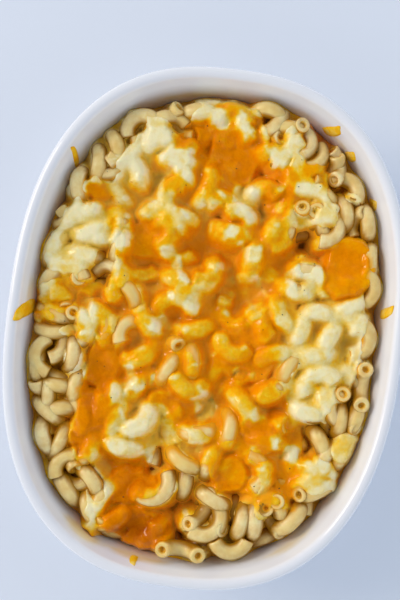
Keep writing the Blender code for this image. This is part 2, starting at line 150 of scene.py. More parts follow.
# Elbows that arch over with both ends down: middle, the way they run, and their dress.
# The deep ones are poured first and lie in the shade, under the others.
DEEP_ELBOWS = (
    (-76, 68, 80, 1), (-60, -91, -35, 1), (-46, -99, -45, 1), (-73, -75, 60, 1), (78, -37, 60, 1),
    (42, -101, 40, 1), (54, -90, 35, 1), (30, 103, 0, 1), (-36, -105, 20, 0), (66, -78, 50, 1),
    (79, 52, 80, 0), (76, 62, 100, 1), (-86, -32, 90, 1), (-83, -50, 80, 1), (-10, 112, 0, 1),
)
ARCHED_ELBOWS = (
    (-59, 90, -55, 1), (-63, 76, -78, 1), (-15, 106, 0, 1), (-34, 100, 35, 1), (18, 112, 10, 1),
    (22, 105, 45, 1), (33, 95, 80, 1), (-74, 45, 35, 0), (-84, 30, 80, 1), (-83, 17, 65, 1),
    (-61, 38, 20, 0), (-64, 27, 10, 0), (-80, -4, -5, 0), (-80, -13, 5, 1), (-69, -38, 10, 1),
    (-60, -38, 80, 0), (-65, -49, 15, 1), (-75, -53, -20, 0), (-72, -64, -70, 1), (-62, -23, 80, 0),
    (-46, -82, -65, 1), (-41, -93, 90, 1), (30, -94, 90, 1), (36, -92, 80, 0), (15, -85, -30, 1),
    (80, 43, 85, 0), (70, 18, 40, 1), (72, -38, 90, 0), (64, -31, -70, 0), (56, -8, 0, 0),
    (43, -16, 65, 2), (76, -53, 65, 0), (66, -57, 75, 0), (71, -72, 10, 1), (62, -70, 35, 0),
    (62, 65, -60, 0), (54, 60, 20, 0), (43, 74, 0, 0), (37, 87, 85, 0), (24, 88, -20, 0), (-24, 81, 0, 0),
    (-34, 90, 10, 0), (-20, 74, -50, 0), (-1, -68, -18, 2), (18, -50, 100, 2), (3, -54, -10, 2),
    (-4, -20, 85, 2), (-15, -22, 75, 2), (-38, 12, -60, 2), (9, 47, 10, 0), (-48, 34, 85, 0),
    (20, 37, 85, 0), (55, -37, -15, 0), (38, 8, -35, 0), (47, 4, 75, 0), (54, 13, 15, 0), (36, -10, 20, 0),
    (61, 1, 60, 0), (43, 23, -20, 0), (36, -28, 40, 0), (26, -38, -50, 0), (-44, -44, 70, 0),
    (-30, -3, -30, 0), (28, 50, 60, 0),
)

# Elbows with an open end in view: that end, the way it faces, how steeply, and the body's twist.
OPEN_ELBOWS = (
    (-26, 106.5, 35, 35, 80), (36.5, 104, 10, 60, 60), (26.5, 97.5, 30, 60, -60),
    (56.5, 81.5, 200, 50, 90), (48, 86, 150, 45, 90), (71, 65, 0, 40, 90), (-65, -1.5, 20, 70, 60),
    (-64.5, 16, -20, 60, 90), (74, -25.5, 60, 70, 30), (81, -43, -50, 40, 60), (-38.5, -102, 60, 40, 60),
    (3.5, -97.5, 150, 55, 90), (21, -98, 20, 50, -60), (45, -80.5, 90, 78, 0), (45, -93, 20, 72, 60),
    (57.5, -80.5, -150, 50, -60), (-74, -25, 190, 20, 80), (-57, -80, -60, 35, 60),
    (-81, -38, 100, 25, 60), (-12, -11, -50, 40, 60), (40.5, 64, 90, 70, 60), (47, 63, -90, 70, -60),
)

# Elbows that stand on their back with both open ends up: middle, and the way they run.
UPTURNED_ELBOWS = ((1.5, -111, 0), (80.5, -20.5, 90))

# What the cheese does: how far its edge strays, how thickly it coats a tube, how far it fills the dips
# between tubes, and how evenly it lies, from 0 where it follows every tube to 1 where it lies level.
COVER_KINDS = {
    "bare": (2.2, -6.5, -6.5, 0),
    "thin": (3.6, -2.2, -4.5, 0),
    "film": (2.2, 0.5, 0.6, 0.35),
    "melt": (2.2, 0.15, 0.2, 0.3),
    "pool": (2.2, 0.6, 2, 0.8),
    "gap": (0.5, -5, -9, 0),
}

# Where it does that, laid down in order: kind, and then x, y, half length, half width, heading, and the
# cheese there: 1 is white, 0 is cheddar and -1 is dark cheddar with oil, which in the deep corner at the top
# right is painted shade.
COVER = (
    ("thin", ((-8, 3, 106, 76, 90, 0.3),)),
    ("melt", (
        (-3, 12, 80, 47, 90, 0.12), (-1, 92, 22, 20, 0, 0), (-68, 7, 19, 11, 0, 0.3),
        (38, 84, 20, 13, -60, 0.1), (-36, -64, 46, 20, 80, 0), (30, -50, 40, 24, -60, 0.1),
        (62, -66, 12, 11, 0, 0.1), (-80, -4, 8, 5, -5, 0.05),
    )),
    ("film", (
        (-68, 36, 24, 12, 75, 0.9), (-39, 74, 26, 22, 65, 1), (-34, 57, 30, 12, -5, 0.62),
        (-58, 44, 14, 12, 60, 0.95),
    )),
    ("thin", ((-60, 80, 24, 11, 62, 0.8),)),
    ("film", (
        (58, -2, 40, 21, 85, 0.85), (40, 8, 14, 9, 20, 0.7), (46, 62, 13, 9, 20, 0.75),
        (74, -50, 9, 6, 60, 0.5),
    )),
    ("melt", ((66, 36, 16, 11, 95, -0.05),)),
    ("thin", ((-58, -38, 8, 6, 80, 0.5),)),
    ("melt", ((-55, -3, 8, 12, 0, 0.3),)),
    ("film", ((-26, -55, 16, 14, 40, 0.72), (-4, -58, 12, 8, -10, 0.7), (14, 64, 12, 8, -30, 0.85))),
    # A deep corner at the top right, its shade painted in as dark cheddar.
    ("thin", ((46, 95, 13, 9, -60, -0.7),)),
    ("pool", (
        (-63, 62, 8, 4.5, -25, -0.2), (4, 84, 19, 13, 85, -0.05), (-18, 93, 11, 7, 40, -0.1),
        (29, 72, 14, 8, 80, -0.1), (2, 109, 10, 4, 5, -0.1), (25, -6, 22, 13, 80, 0.05),
        (-33, 40, 12, 11, 25, 0.05), (-48, -26, 14, 9, 80, -0.2), (-52, -50, 16, 8, 85, -0.5),
        (-10, -41, 12.5, 9, -5, 0.05), (33, -48, 12, 9, -35, -0.25), (-22, -102, 18, 9.5, -8, -0.9),
        (-30, -84, 16, 9, 30, -0.5), (20, -72, 10, 8, 0, -0.25), (-33, 22, 10, 5, 10, 0.35),
    )),
    ("bare", ((-60, -86, 20, 9, -55, 0.3), (-79, -42, 32, 9, 88, 0.3), (-44, -85, 10, 4, -65, 0.5))),
)

# Where it sinks onto the tubes in a crevice, whose dark is painted shade: x, y, half length, half width and
# heading.
GAPS = (
    (39, -81, 9, 3.5, 80), (31, -82, 2.5, 2, 0), (12, -12, 6, 2.2, -35), (20, -22, 2.6, 1.8, 20),
    (-73, 36, 4.5, 3, 50), (-67, 41, 2, 1.6, 0), (-27, 5, 2.6, 2, 40), (47, 39, 3.6, 2, 10),
    (-10, 67, 2.2, 1.4, -30), (0, 54, 2.2, 1.2, 0), (31, 10, 1.3, 1.3, 0), (-10, 110, 5, 2, -5),
    (27, 75, 2.5, 1.6, -60), (0, 24, 2, 3, 0), (40.5, 64, 1.8, 1.2, 0), (47, 63, 1.3, 1.3, 0),
    (53, 56.5, 3.5, 1.4, 5), (65, 71, 2.4, 1.6, 0), (-66, -10, 3.5, 1.6, 15), (76, -5, 3.5, 1.5, 80),
    (49, -17.5, 3, 1.2, 25), (46, 16, 2.2, 1.2, 80), (-6, -98, 1.6, 1.6, 0),
)

# Shreds and bits that melted on top: x, y, half length, half width, heading, the cheese there, and the rise.
DABS = (
    (1, 100, 10, 3.6, 88, 0.1, 1), (-6, 102, 5, 4.5, 80, 0.95, 1.2), (8, 100, 6.5, 3.2, -60, 0.95, 1.2),
    (-15, 106, 6.5, 3.8, 0, 0.75, 0.8), (-34, 97, 5.5, 2.5, 15, 0.42, 0.8), (-34, 91, 5, 4, 0, 1, 1.6),
    (-23, 82, 6, 4.2, -3, 1, 1.6), (-33, 78, 5, 4, 10, 0.4, 1.4), (-22, 67, 7, 4.5, -40, 0.1, 0.8),
    (-4, 60, 4, 1.8, 10, 0.85, 0.6), (12, 66, 8, 6, -20, 0.9, 1), (17, 58, 6, 5, 10, 0.8, 0.6),
    (28, 63, 4, 3, 0, 0.6, 0.5), (8, 47.5, 4.6, 4.6, 0, 1, 1.6), (14.5, 48, 5, 2.8, 85, 0.95, 1.4),
    (24, 88, 7, 4, -20, 0.95, 1.4), (23, 93.5, 5, 2, -10, 0.4, 0.8), (33, 95, 4, 4, 0, 0.7, 0.5),
    (43, 73.5, 6, 4, 0, 1, 1.5), (40, 80, 5, 3.5, 10, 0.42, 0.8), (36, 88, 6, 3, 85, 0.6, 0.8),
    (45, 84, 5, 4, 0, 0.15, 1), (62, 66, 5.5, 4.6, -50, 0.85, 1), (60, 74, 6, 4, 0, 0.1, 0.8),
    (63, 58, 5, 3.5, 10, 0.2, 0.8), (19, 37.5, 5, 4.4, 85, 0.75, 1.2), (5, 31, 4.5, 2.8, 20, 0.65, 1),
    (22, 25, 7.5, 2.8, -5, 0.65, 0.8), (22, 19, 5, 4.5, 0, 0.35, 0.8), (46, 30, 9, 6, 10, 0.95, 1.2),
    (42, 23, 5.5, 4.5, 30, 0.9, 0.6), (9, 16, 4.5, 4, 80, 0.42, 1.6), (23, 11.5, 5, 3.8, 85, 0.38, 1.2),
    (37, 6.5, 4.5, 3, -20, 0.7, 0.8), (-47, 37, 5, 4.6, 90, 0.95, 1.2), (-49, 26, 5.5, 4, 85, 0.8, 0.8),
    (-51, 46.5, 7, 4.5, 100, 0.42, 1.4), (-24, 34, 3.5, 3, 0, 0.8, 0.8), (-28, 18, 8, 4, 10, 0.42, 0.5),
    (-34, 8, 5, 3.5, 90, 0.5, 1), (-14.5, 24, 5, 2, -60, 1, 1.2), (-14, 13, 5, 3.8, 90, 0.48, 1.6),
    (-4, 17, 5.5, 2.8, 12, 0.42, 1.4), (-7, 9, 4.6, 4.2, 60, 0.92, 1.4), (-41.5, -9, 9, 3, 100, 0.5, 1.8),
    (-33, -12, 5, 4, 90, 0.4, 0.8), (-21, -1.5, 6, 3, -5, 0.98, 1.4), (-57, -4, 9, 4.2, 105, 0.9, 1.5),
    (-62, -15, 4.5, 4.5, 0, 0.4, 1.2), (-62.5, -26, 7, 5, 100, 0.95, 1.6),
    (-32, -30, 5.5, 3.2, 105, 0.92, 1.4), (-26, -24, 6, 5, 0, 0.2, 1), (-38, -38, 5, 5, 0, 0.78, 0.8),
    (-11, -41, 11, 8, 0, 0.1, 1.2), (-20, -48, 8, 6, 20, 0.85, 0.6), (55, -36.5, 5.8, 3.6, -15, 0.95, 1.3),
    (37, -31, 7, 5, -5, 0.08, 1.8), (4, -39, 6.5, 4, 110, 0.92, 1.2), (22, -40, 5, 4, 90, 0.38, 1),
    (32, -40, 4, 3, 0, 0.65, 0.5), (41, -54, 5, 2.4, 105, 0.85, 0.8), (49, -58, 3.6, 3.2, 0, 0.98, 1.2),
    (66, -57, 7, 4, 75, 0.85, 1), (4, -73, 5, 3.5, -40, 0.9, 0.8), (-18, -71, 6, 3.5, 120, 0.8, 0.8),
    (-8, -81, 6.5, 3.2, 0, 0.85, 1), (-14, -86, 6, 4, 0, 0.2, 0.8), (-35, -63, 5, 4.5, -40, 0.88, 1.2),
    (-44, -74, 6, 3, 120, 0.6, 0.6), (-26, -56, 9, 8, 0, 0.8, 0.5), (36.5, -71, 7, 4, 80, 0.42, 1.4),
    (24, -68, 8, 7, 0, 0.1, 0.8), (62, -70, 5, 4.5, 40, 0.45, 1), (71, -72, 4, 3, 90, 0.8, 0.6),
    (14, -84.5, 6, 4, 0, 0.9, 0.8), (36, -96, 6, 5, 90, 0.35, 0.6), (-12, -92, 8, 4.5, 10, 0.25, 0.8),
    (-80, 8, 6, 6, 0, 0.42, 1.6), (-69, 8, 6, 5, 0, 0.35, 1), (-71, 19.5, 7.5, 3.2, -15, 0.48, 1.6),
)

# Small bits of shreds that kept some of their shape, strewn over the melted part.
BIT_COUNT = 130
BIT_LENGTH = (1.4, 3.6)
BIT_WIDTH = (0.8, 1.6)
BIT_SEED = 41

# The thick smooth slab of cheddar on the right, its outline seen from above and how proud it stands.
SLAB_OUTLINE = (
    (58, 51), (65, 52.5), (73, 51.5), (79, 46), (81, 38), (79, 29), (72, 23), (62, 20.5), (55.5, 25),
    (54.5, 35), (56, 44),
)
SLAB_THICKNESS = 5.0
SLAB_EDGE = 2.6
SLAB_WHITE = -0.1

# Cheddar stuck to the inside wall: direction from the middle, how far up from the lip's inner edge
# its middle is, length, width, and lean from lying along the wall (0) over upright (90).
WALL_SHREDS = (
    (134.4, -8.5, 17, 3.6, 74), (63.5, -9, 15, 6.5, 60), (56, -12, 10, 6, 65), (42.4, -12, 8, 6, 60),
    (11, -7, 15, 5.4, 96), (181.6, -6, 22, 8, 104), (259.9, -5.5, 9, 4, 85),
)
SHRED_THICKNESS = 1.1

PEPPER_COUNT = 46
PEPPER_SEED = 77
PEPPER_SIZE = (0.18, 0.42)
PEPPER_INSET = 22

# Dried smears on the inside wall: direction, height, half its turn, half its height, and how strong.
WALL_SMEARS = (
    (-114, 48, 9, 8, 0.9), (-100, 46, 12, 6, 0.8), (-62, 46, 12, 6, 0.6), (-38, 44, 14, 6, 0.5),
    (12, 46, 10, 7, 0.4), (100, 40, 14, 5, 0.7), (176, 47, 9, 7, 0.6), (60, 43, 14, 4, 0.6),
)

CHEESE_NODES = (
    "cheddar_slab_right", "cheddar_pool_bottom", "cheddar_low_middle", "cheddar_top", "cheddar_low_left",
    "cheddar_middle", "cheddar_low_right", "cheddar_left", "cheddar_upper_right",
    "white_cheese_upper_left", "white_cheese_right", "white_cheese_low",
)

# Camera: straight above, at a distance that fits the photograph, turned by the dish's lean in it.
CAMERA_PLACE = (0, 0, 458)
CAMERA_AIM = (-3.9, 12.0, 58)
CAMERA_ROLL = 7.0
CAMERA_LENS = 50
CAMERA_SENSOR = 36

# Light: one large soft window on the left, in metres and watts, and a pale sky.
WINDOW_PLACE = (-4.3, 1.3, 2.6)
WINDOW_AIM = (0, 0, 0.04)
WINDOW_SIZE = (2.4, 2.0)
WINDOW_POWER = 111
WINDOW_COLOUR = "#FFF0DE"
SKY_COLOUR = "#E6EEFA"
SKY_AT_SIDES = 1.3
SKY_ABOVE = 0.27

TABLE_REACH = 1500

# A mix node that mixes colours.
MIX_COLOURS = {"data_type": "RGBA", "out": 2}


# Small helpers.

def colour(code):
    """Linear colour of an sRGB hex code."""
    parts = [int(code[i:i + 2], 16) / 255 for i in (1, 3, 5)]
    linear = [p / 12.92 if p <= 0.04045 else ((p + 0.055) / 1.055) ** 2.4 for p in parts]
    return (*linear, 1)


def feed(tree, node, inputs):
    """Sets a node's inputs to values, or links them to the sockets given."""
    for key, value in inputs.items():
        socket = node.inputs[key]
        if isinstance(value, bpy.types.NodeSocket):
            tree.links.new(value, socket)
        else:
            socket.default_value = value


def add(tree, kind, inputs=None, out=0, stops=(), **settings):
    """Adds a node with its settings, inputs and colour stops, and gives one of its outputs."""
    node = tree.nodes.new(kind)
    for name, value in settings.items():
        setattr(node, name, value)
    feed(tree, node, inputs or {})
    for number, (place, code) in enumerate(stops):
        elements = node.color_ramp.elements
        stop = elements[number] if number < 2 else elements.new(place)
        stop.position = place
        stop.color = colour(code)
    return node.outputs[out] if len(node.outputs) else node


def put_in_scene(name, mesh, material=None):
    thing = bpy.data.objects.new(name, mesh)
    bpy.context.scene.collection.objects.link(thing)
    if material:
        mesh.materials.clear()
        mesh.materials.append(material)
    return thing


def mesh_from(name, points, faces):
    """A mesh from points in mm."""
    mesh = bpy.data.meshes.new(name)
    mesh.from_pydata((np.asarray(points) * MM).tolist(), [], [list(map(int, face)) for face in faces])
    mesh.shade_smooth()
    return mesh


def set_attribute(mesh, name, values):
    layer = mesh.attributes.new(name, "FLOAT", "POINT")
    layer.data.foreach_set("value", np.asarray(values, dtype=np.float32))


def points_of(mesh):
    """The mesh's points in mm."""
    flat = np.empty(len(mesh.vertices) * 3)
    mesh.vertices.foreach_get("co", flat)
    return flat.reshape(-1, 3) / MM


def smooth_step(low, high, value):
    t = np.clip((value - low) / (high - low), 0, 1)
    return t * t * (3 - 2 * t)


def mix_corners(grid, i, j, after_i, after_j, f, g):
    """A grid's values evenly mixed between four cells, by the shares f and g of the further ones."""
    low = grid[i, j] * (1 - f) + grid[after_i, j] * f
    high = grid[i, after_j] * (1 - f) + grid[after_i, after_j] * f
    return low * (1 - g) + high * g


def soft_noise(x, y, cell, seed):
    """Smooth random values from -1 to 1 over a plane, with hills about one cell across."""
    table = np.random.default_rng(seed).uniform(-1, 1, (64, 64))
    u = x / cell + 31.7
    v = y / cell + 27.3
    i = np.floor(u).astype(int)
    j = np.floor(v).astype(int)
    f = smooth_step(0, 1, u - i)
    g = smooth_step(0, 1, v - j)
    return mix_corners(table, i % 64, j % 64, (i + 1) % 64, (j + 1) % 64, f, g)


def nearest_cells(grid, start, step, x, y):
    """The cells of a grid nearest to places."""
    i = np.clip(np.rint((x - start[0]) / step).astype(int), 0, grid.shape[0] - 1)
    j = np.clip(np.rint((y - start[1]) / step).astype(int), 0, grid.shape[1] - 1)
    return i, j


def blur(grid, width):
    """Gaussian blur of a grid, width in cells."""
    reach = int(math.ceil(2.6 * width))
    weights = [math.exp(-0.5 * (k / width) ** 2) for k in range(-reach, reach + 1)]
    total = sum(weights)
    for axis in (0, 1):
        padded = np.pad(grid, [(reach, reach) if axis == a else (0, 0) for a in (0, 1)], mode="edge")
        size = grid.shape[axis]
        mixed = np.zeros_like(grid)
        for k, weight in enumerate(weights):
            part = padded[k:k + size] if axis == 0 else padded[:, k:k + size]
            mixed += part * (weight / total)
        grid = mixed
    return grid


# Dish shape, as in the solids but finer.

def inside_inset(height):
    """How far the inside wall stands in from the rim's outline at a height."""
    return LIP_WIDTH + (DISH_HEIGHT - height) * WALL_SLOPE


def oval_share(x, y, inset):
    """0 in the middle of the oval, 1 on its line."""
    a = np.abs(x) / (DISH_WIDTH / 2 - inset)
    b = np.abs(y) / (DISH_LENGTH / 2 - inset)
    return (a ** OVAL_POWER + b ** OVAL_POWER) ** (1 / OVAL_POWER)


def oval_ring(inset, height, segments):
    turns = 2 * np.pi * np.arange(segments) / segments
    across = np.abs(np.cos(turns)) ** OVAL_POWER + np.abs(np.sin(turns)) ** OVAL_POWER
    reach = across ** (-1 / OVAL_POWER)
    return np.stack([
        (DISH_WIDTH / 2 - inset) * np.cos(turns) * reach,
        (DISH_LENGTH / 2 - inset) * np.sin(turns) * reach,
        np.full(segments, float(height)),
    ], axis=1)


def fillet(start, corner, end, steps):
    """Points of a round corner from start to end, pulled towards the corner."""
    shares = (i / steps for i in range(steps + 1))
    return [
        tuple((1 - t) ** 2 * a + 2 * t * (1 - t) * b + t ** 2 * c for a, b, c in zip(start, corner, end))
        for t in shares
    ]


def dish_profile():
    """(inset, height) pairs from the inside floor, up and over the lip, down to the recess in the foot."""
    radius = LIP_WIDTH / 2
    foot = inside_inset(FLOOR_TOP)
    turn_end = FLOOR_TOP + CORNER_RADIUS
    profile = fillet((foot + CORNER_RADIUS, FLOOR_TOP), (foot, FLOOR_TOP),
                     (inside_inset(turn_end), turn_end), CORNER_STEPS)
    for height in (25, 31, 36, 40, 43, 46, 49, 52):
        profile.append((inside_inset(height), height))
    for i in range(LIP_STEPS + 1):
        angle = math.radians(225 * i / LIP_STEPS)
        profile.append((radius * (1 + math.cos(angle)), DISH_HEIGHT - radius + radius * math.sin(angle)))
    neck = DISH_HEIGHT - 2.6 * radius
    profile.append((inside_inset(neck) - WALL_THICKNESS, neck))
    turn = FLOOR_TOP + 0.5 * CORNER_RADIUS
    outside = inside_inset(turn) - WALL_THICKNESS
    foot_outside = outside + 0.9 * CORNER_RADIUS
    profile += fillet((outside, turn), (outside + 1, FOOT_HEIGHT), (foot_outside, FOOT_HEIGHT), CORNER_STEPS)
    profile += [
        (foot_outside + 0.6, 0.2),
        (foot_outside + 1.0, 0),
        (foot_outside + FOOT_WIDTH - 0.4, 0),
        (foot_outside + FOOT_WIDTH, 0.2),
        (foot_outside + FOOT_WIDTH + 1, FOOT_HEIGHT),
    ]
    return profile


def make_dish(material):
    rings = [oval_ring(inset, height, DISH_SEGMENTS) for inset, height in dish_profile()]
    points = np.concatenate(rings)
    faces = []
    for r in range(len(rings) - 1):
        for i in range(DISH_SEGMENTS):
            after = (i + 1) % DISH_SEGMENTS
            low = r * DISH_SEGMENTS
            high = low + DISH_SEGMENTS
            faces.append((low + after, low + i, high + i, high + after))
    faces.append(tuple(range(DISH_SEGMENTS)))
    last = (len(rings) - 1) * DISH_SEGMENTS
    faces.append(tuple(reversed(range(last, last + DISH_SEGMENTS))))
    mesh = mesh_from("baking_dish", points, faces)
    outward(mesh)
    set_attribute(mesh, "smear", wall_smears(points))
    return put_in_scene("baking_dish", mesh, material)


def wall_smears(points):
    """How much fat has dried on each point of the inside wall."""
    x, y, z = points.T
    inner = np.abs(oval_share(x, y, inside_inset(np.minimum(z, 54))) - 1) < 0.004
    direction = np.degrees(np.arctan2(y, x))
    line = 0.3 * smooth_step(48, 42, z)
    patch = np.zeros(len(points))
    for middle, height, half_turn, half_height, strength in WALL_SMEARS:
        off = (direction - middle + 180) % 360 - 180
        near = 1 - np.hypot(off / half_turn, (z - height) / half_height)
        patch = np.maximum(patch, strength * smooth_step(0, 0.7, near))
    return np.maximum(line, patch) * inner


def outward(mesh):
    bm = bmesh.new()
    bm.from_mesh(mesh)
    bmesh.ops.recalc_face_normals(bm, faces=bm.faces)
    bm.to_mesh(mesh)
    bm.free()
    mesh.shade_smooth()


# Elbow shapes.

def elbow_kinds():
    """Bend radius, half angle and tube radius of each kind of elbow: no two cook alike."""
    draw = np.random.default_rng(ELBOW_SEED)
    kinds = []
    for number in range(ELBOW_KINDS):
        half = 64 + 22 * number / (ELBOW_KINDS - 1)
        kinds.append((
            BEND_RADIUS * draw.uniform(0.92, 1.16),
            math.radians(half),
            TUBE_RADIUS * draw.uniform(0.93, 1.07),
        ))
    return kinds


def elbow_cloud(kind, along, around):
    """Points all over one kind of elbow, about the centre of its bend, its back towards +X."""
    bend, half, tube = kind
    bends = np.linspace(-half, half, along)
    turns = 2 * np.pi * np.arange(around) / around
    a, t = np.meshgrid(bends, turns, indexing="ij")
    reach = bend + tube * np.cos(t)
    cloud = [np.stack([reach * np.cos(a), reach * np.sin(a), tube * np.sin(t)], axis=-1).reshape(-1, 3)]
    for end in (-half, half):
        for share in (0.5, 0.75):
            reach = bend + tube * share * np.cos(turns)
            cloud.append(np.stack([
                reach * math.cos(end), reach * math.sin(end), tube * share * np.sin(turns),
            ], axis=-1))
    return np.concatenate(cloud)


def new_tree(name, inputs):
    """A Geometry Nodes tree that gives a geometry, and the sockets of its named inputs."""
    tree = bpy.data.node_groups.new(name, "GeometryNodeTree")
    for label, kind in inputs.items():
        tree.interface.new_socket(label, in_out="INPUT", socket_type="NodeSocket" + kind)
    tree.interface.new_socket("Geometry", in_out="OUTPUT", socket_type="NodeSocketGeometry")
    return tree, add(tree, "NodeGroupInput").node.outputs


def elbow_tree():
    """A bent tube with rounded rims and a bore in each end."""
    tree, sizes = new_tree("elbow macaroni", {
        "Bend radius": "Float", "Half angle": "Float", "Tube radius": "Float", "Bore radius": "Float",
        "Bore depth": "Float", "Material": "Material",
    })
    start = add(tree, "ShaderNodeMath", {0: sizes["Half angle"], 1: -1.0}, operation="MULTIPLY")
    sweep = add(tree, "ShaderNodeMath", {0: sizes["Half angle"], 1: 2.0}, operation="MULTIPLY")
    path = add(tree, "GeometryNodeCurveArc", {
        "Resolution": 8, "Radius": sizes["Bend radius"], "Start Angle": start, "Sweep Angle": sweep,
    }, mode="RADIUS")
    wide = add(tree, "ShaderNodeMath", {0: sizes["Tube radius"], 1: ROUNDING_SHRINK}, operation="DIVIDE")
    ring = add(tree, "GeometryNodeCurvePrimitiveCircle", {"Resolution": 8, "Radius": wide})
    tube = add(tree, "GeometryNodeCurveToMesh", {"Curve": path, "Profile Curve": ring, "Fill Caps": True})
    corners = add(tree, "GeometryNodeInputMeshFaceNeighbors", out="Vertex Count")
    chosen = add(tree, "FunctionNodeCompare", {2: corners, 3: 4}, data_type="INT", operation="GREATER_THAN")
    share = add(tree, "ShaderNodeMath", {
        0: sizes["Bore radius"], 1: sizes["Tube radius"],
    }, operation="DIVIDE")
    lip = add(tree, "ShaderNodeMath", {0: share, 1: RIM_SHARE}, operation="DIVIDE")
    step = add(tree, "ShaderNodeMath", {0: sizes["Bore depth"], 1: -0.5}, operation="MULTIPLY")
    # The rim swells out a little, turns in, and the bore runs back in two steps, marked for a painted yellow
    # shade that deepens as it goes.
    for push, size, shade in (
        (RIM_SWELL * MM, RIM_SHARE, 0.0), (0.0, lip, 0.0), (step, 0.9, 0.6), (step, 0.85, 1.0),
    ):
        pushed = add(tree, "GeometryNodeExtrudeMesh", {
            "Mesh": tube, "Selection": chosen, "Offset Scale": push, "Individual": False,
        }, mode="FACES")
        chosen = pushed.node.outputs["Top"]
        tube = add(tree, "GeometryNodeScaleElements", {
            "Geometry": pushed, "Selection": chosen, "Scale": size,
        }, domain="FACE")
        inner = add(tree, "FunctionNodeBooleanMath", {
            0: chosen, 1: pushed.node.outputs["Side"],
        }, operation="OR")
        tube = add(tree, "GeometryNodeStoreNamedAttribute", {
            "Geometry": tube, "Selection": inner, "Name": "bore", "Value": shade,
        }, data_type="FLOAT", domain="FACE")
    rounded = add(tree, "GeometryNodeSubdivisionSurface", {"Mesh": tube, "Level": 1})
    painted = add(tree, "GeometryNodeSetMaterial", {"Geometry": rounded, "Material": sizes["Material"]})
    add(tree, "NodeGroupOutput", {"Geometry": painted})
    return tree


def heap_tree():
    """Puts an elbow on every point as the point says, and makes each one a little uneven."""
    tree, given = new_tree("heap of elbows", {
        "Geometry": "Geometry", "Elbows": "Collection", "Unevenness": "Float", "Waves per metre": "Float",
        "Material": "Material",
    })
    kinds = add(tree, "GeometryNodeCollectionInfo", {
        "Collection": given["Elbows"], "Separate Children": True, "Reset Children": True,
    })
    turn = add(tree, "GeometryNodeInputNamedAttribute", {"Name": "turn"}, data_type="FLOAT_VECTOR")
    turned = add(tree, "FunctionNodeEulerToRotation", {0: turn})
    kind = add(tree, "GeometryNodeInputNamedAttribute", {"Name": "kind"}, data_type="INT")
    placed = add(tree, "GeometryNodeInstanceOnPoints", {
        "Points": given["Geometry"], "Instance": kinds, "Pick Instance": True, "Instance Index": kind,
        "Rotation": turned,
    })
    real = add(tree, "GeometryNodeRealizeInstances", {"Geometry": placed})
    waves = add(tree, "ShaderNodeTexNoise", {"Scale": given["Waves per metre"], "Detail": 1.0}, out="Color")
    centred = add(tree, "ShaderNodeVectorMath", {0: waves, 1: (0.5, 0.5, 0.5)}, operation="SUBTRACT")
    offset = add(tree, "ShaderNodeVectorMath", {0: centred, "Scale": given["Unevenness"]}, operation="SCALE")
    uneven = add(tree, "GeometryNodeSetPosition", {"Geometry": real, "Offset": offset})
    painted = add(tree, "GeometryNodeSetMaterial", {"Geometry": uneven, "Material": given["Material"]})
    add(tree, "NodeGroupOutput", {"Geometry": painted})
    return tree


def tree_modifier(thing, tree, values):
    """A Geometry Nodes modifier with its inputs set by identifier."""
    modifier = thing.modifiers.new(tree.name, "NODES")
    modifier.node_group = tree
    for item in tree.interface.items_tree:
        if item.in_out == "INPUT" and item.name in values:
            modifier[item.identifier] = values[item.name]
    return modifier


def plain_mesh(thing):
    """The thing's mesh with its modifiers applied."""
    bpy.context.view_layer.update()
    graph = bpy.context.evaluated_depsgraph_get()
    return bpy.data.meshes.new_from_object(thing.evaluated_get(graph))


# Pouring the heap: each elbow drops until something below holds it.

def turn_about(axis, angle):
    return np.array(Matrix.Rotation(angle, 3, Vector(axis)))


def compass(degrees):
    """The level way of a heading."""
    angle = math.radians(degrees)
    return Vector((math.cos(angle), math.sin(angle), 0))


def lying_pose(heading):
    back = compass(heading)
    return back, Vector((-back.y, back.x, 0))


def arched_pose(heading, lean):
    along = math.radians(heading)
    lean = math.radians(lean)
    first = Vector((-math.sin(along) * math.sin(lean), math.cos(along) * math.sin(lean), math.cos(lean)))
    return first, compass(heading)


def open_pose(azimuth, steepness, twist, half):
    """Back and run of an elbow whose first end faces a given way."""
    azimuth, steepness, twist = (math.radians(v) for v in (azimuth, steepness, twist))
    facing = Vector((
        math.cos(steepness) * math.cos(azimuth),
        math.cos(steepness) * math.sin(azimuth),
        math.sin(steepness),
    ))
    below = Vector((
        math.sin(steepness) * math.cos(azimuth),
        math.sin(steepness) * math.sin(azimuth),
        -math.cos(steepness),
    ))
    bend = below * math.cos(twist) + (-facing).cross(below) * math.sin(twist)
    start = -bend
    run = -facing
    first = start * math.cos(half) + run * math.sin(half)
    second = run * math.cos(half) - start * math.sin(half)
    return first, second


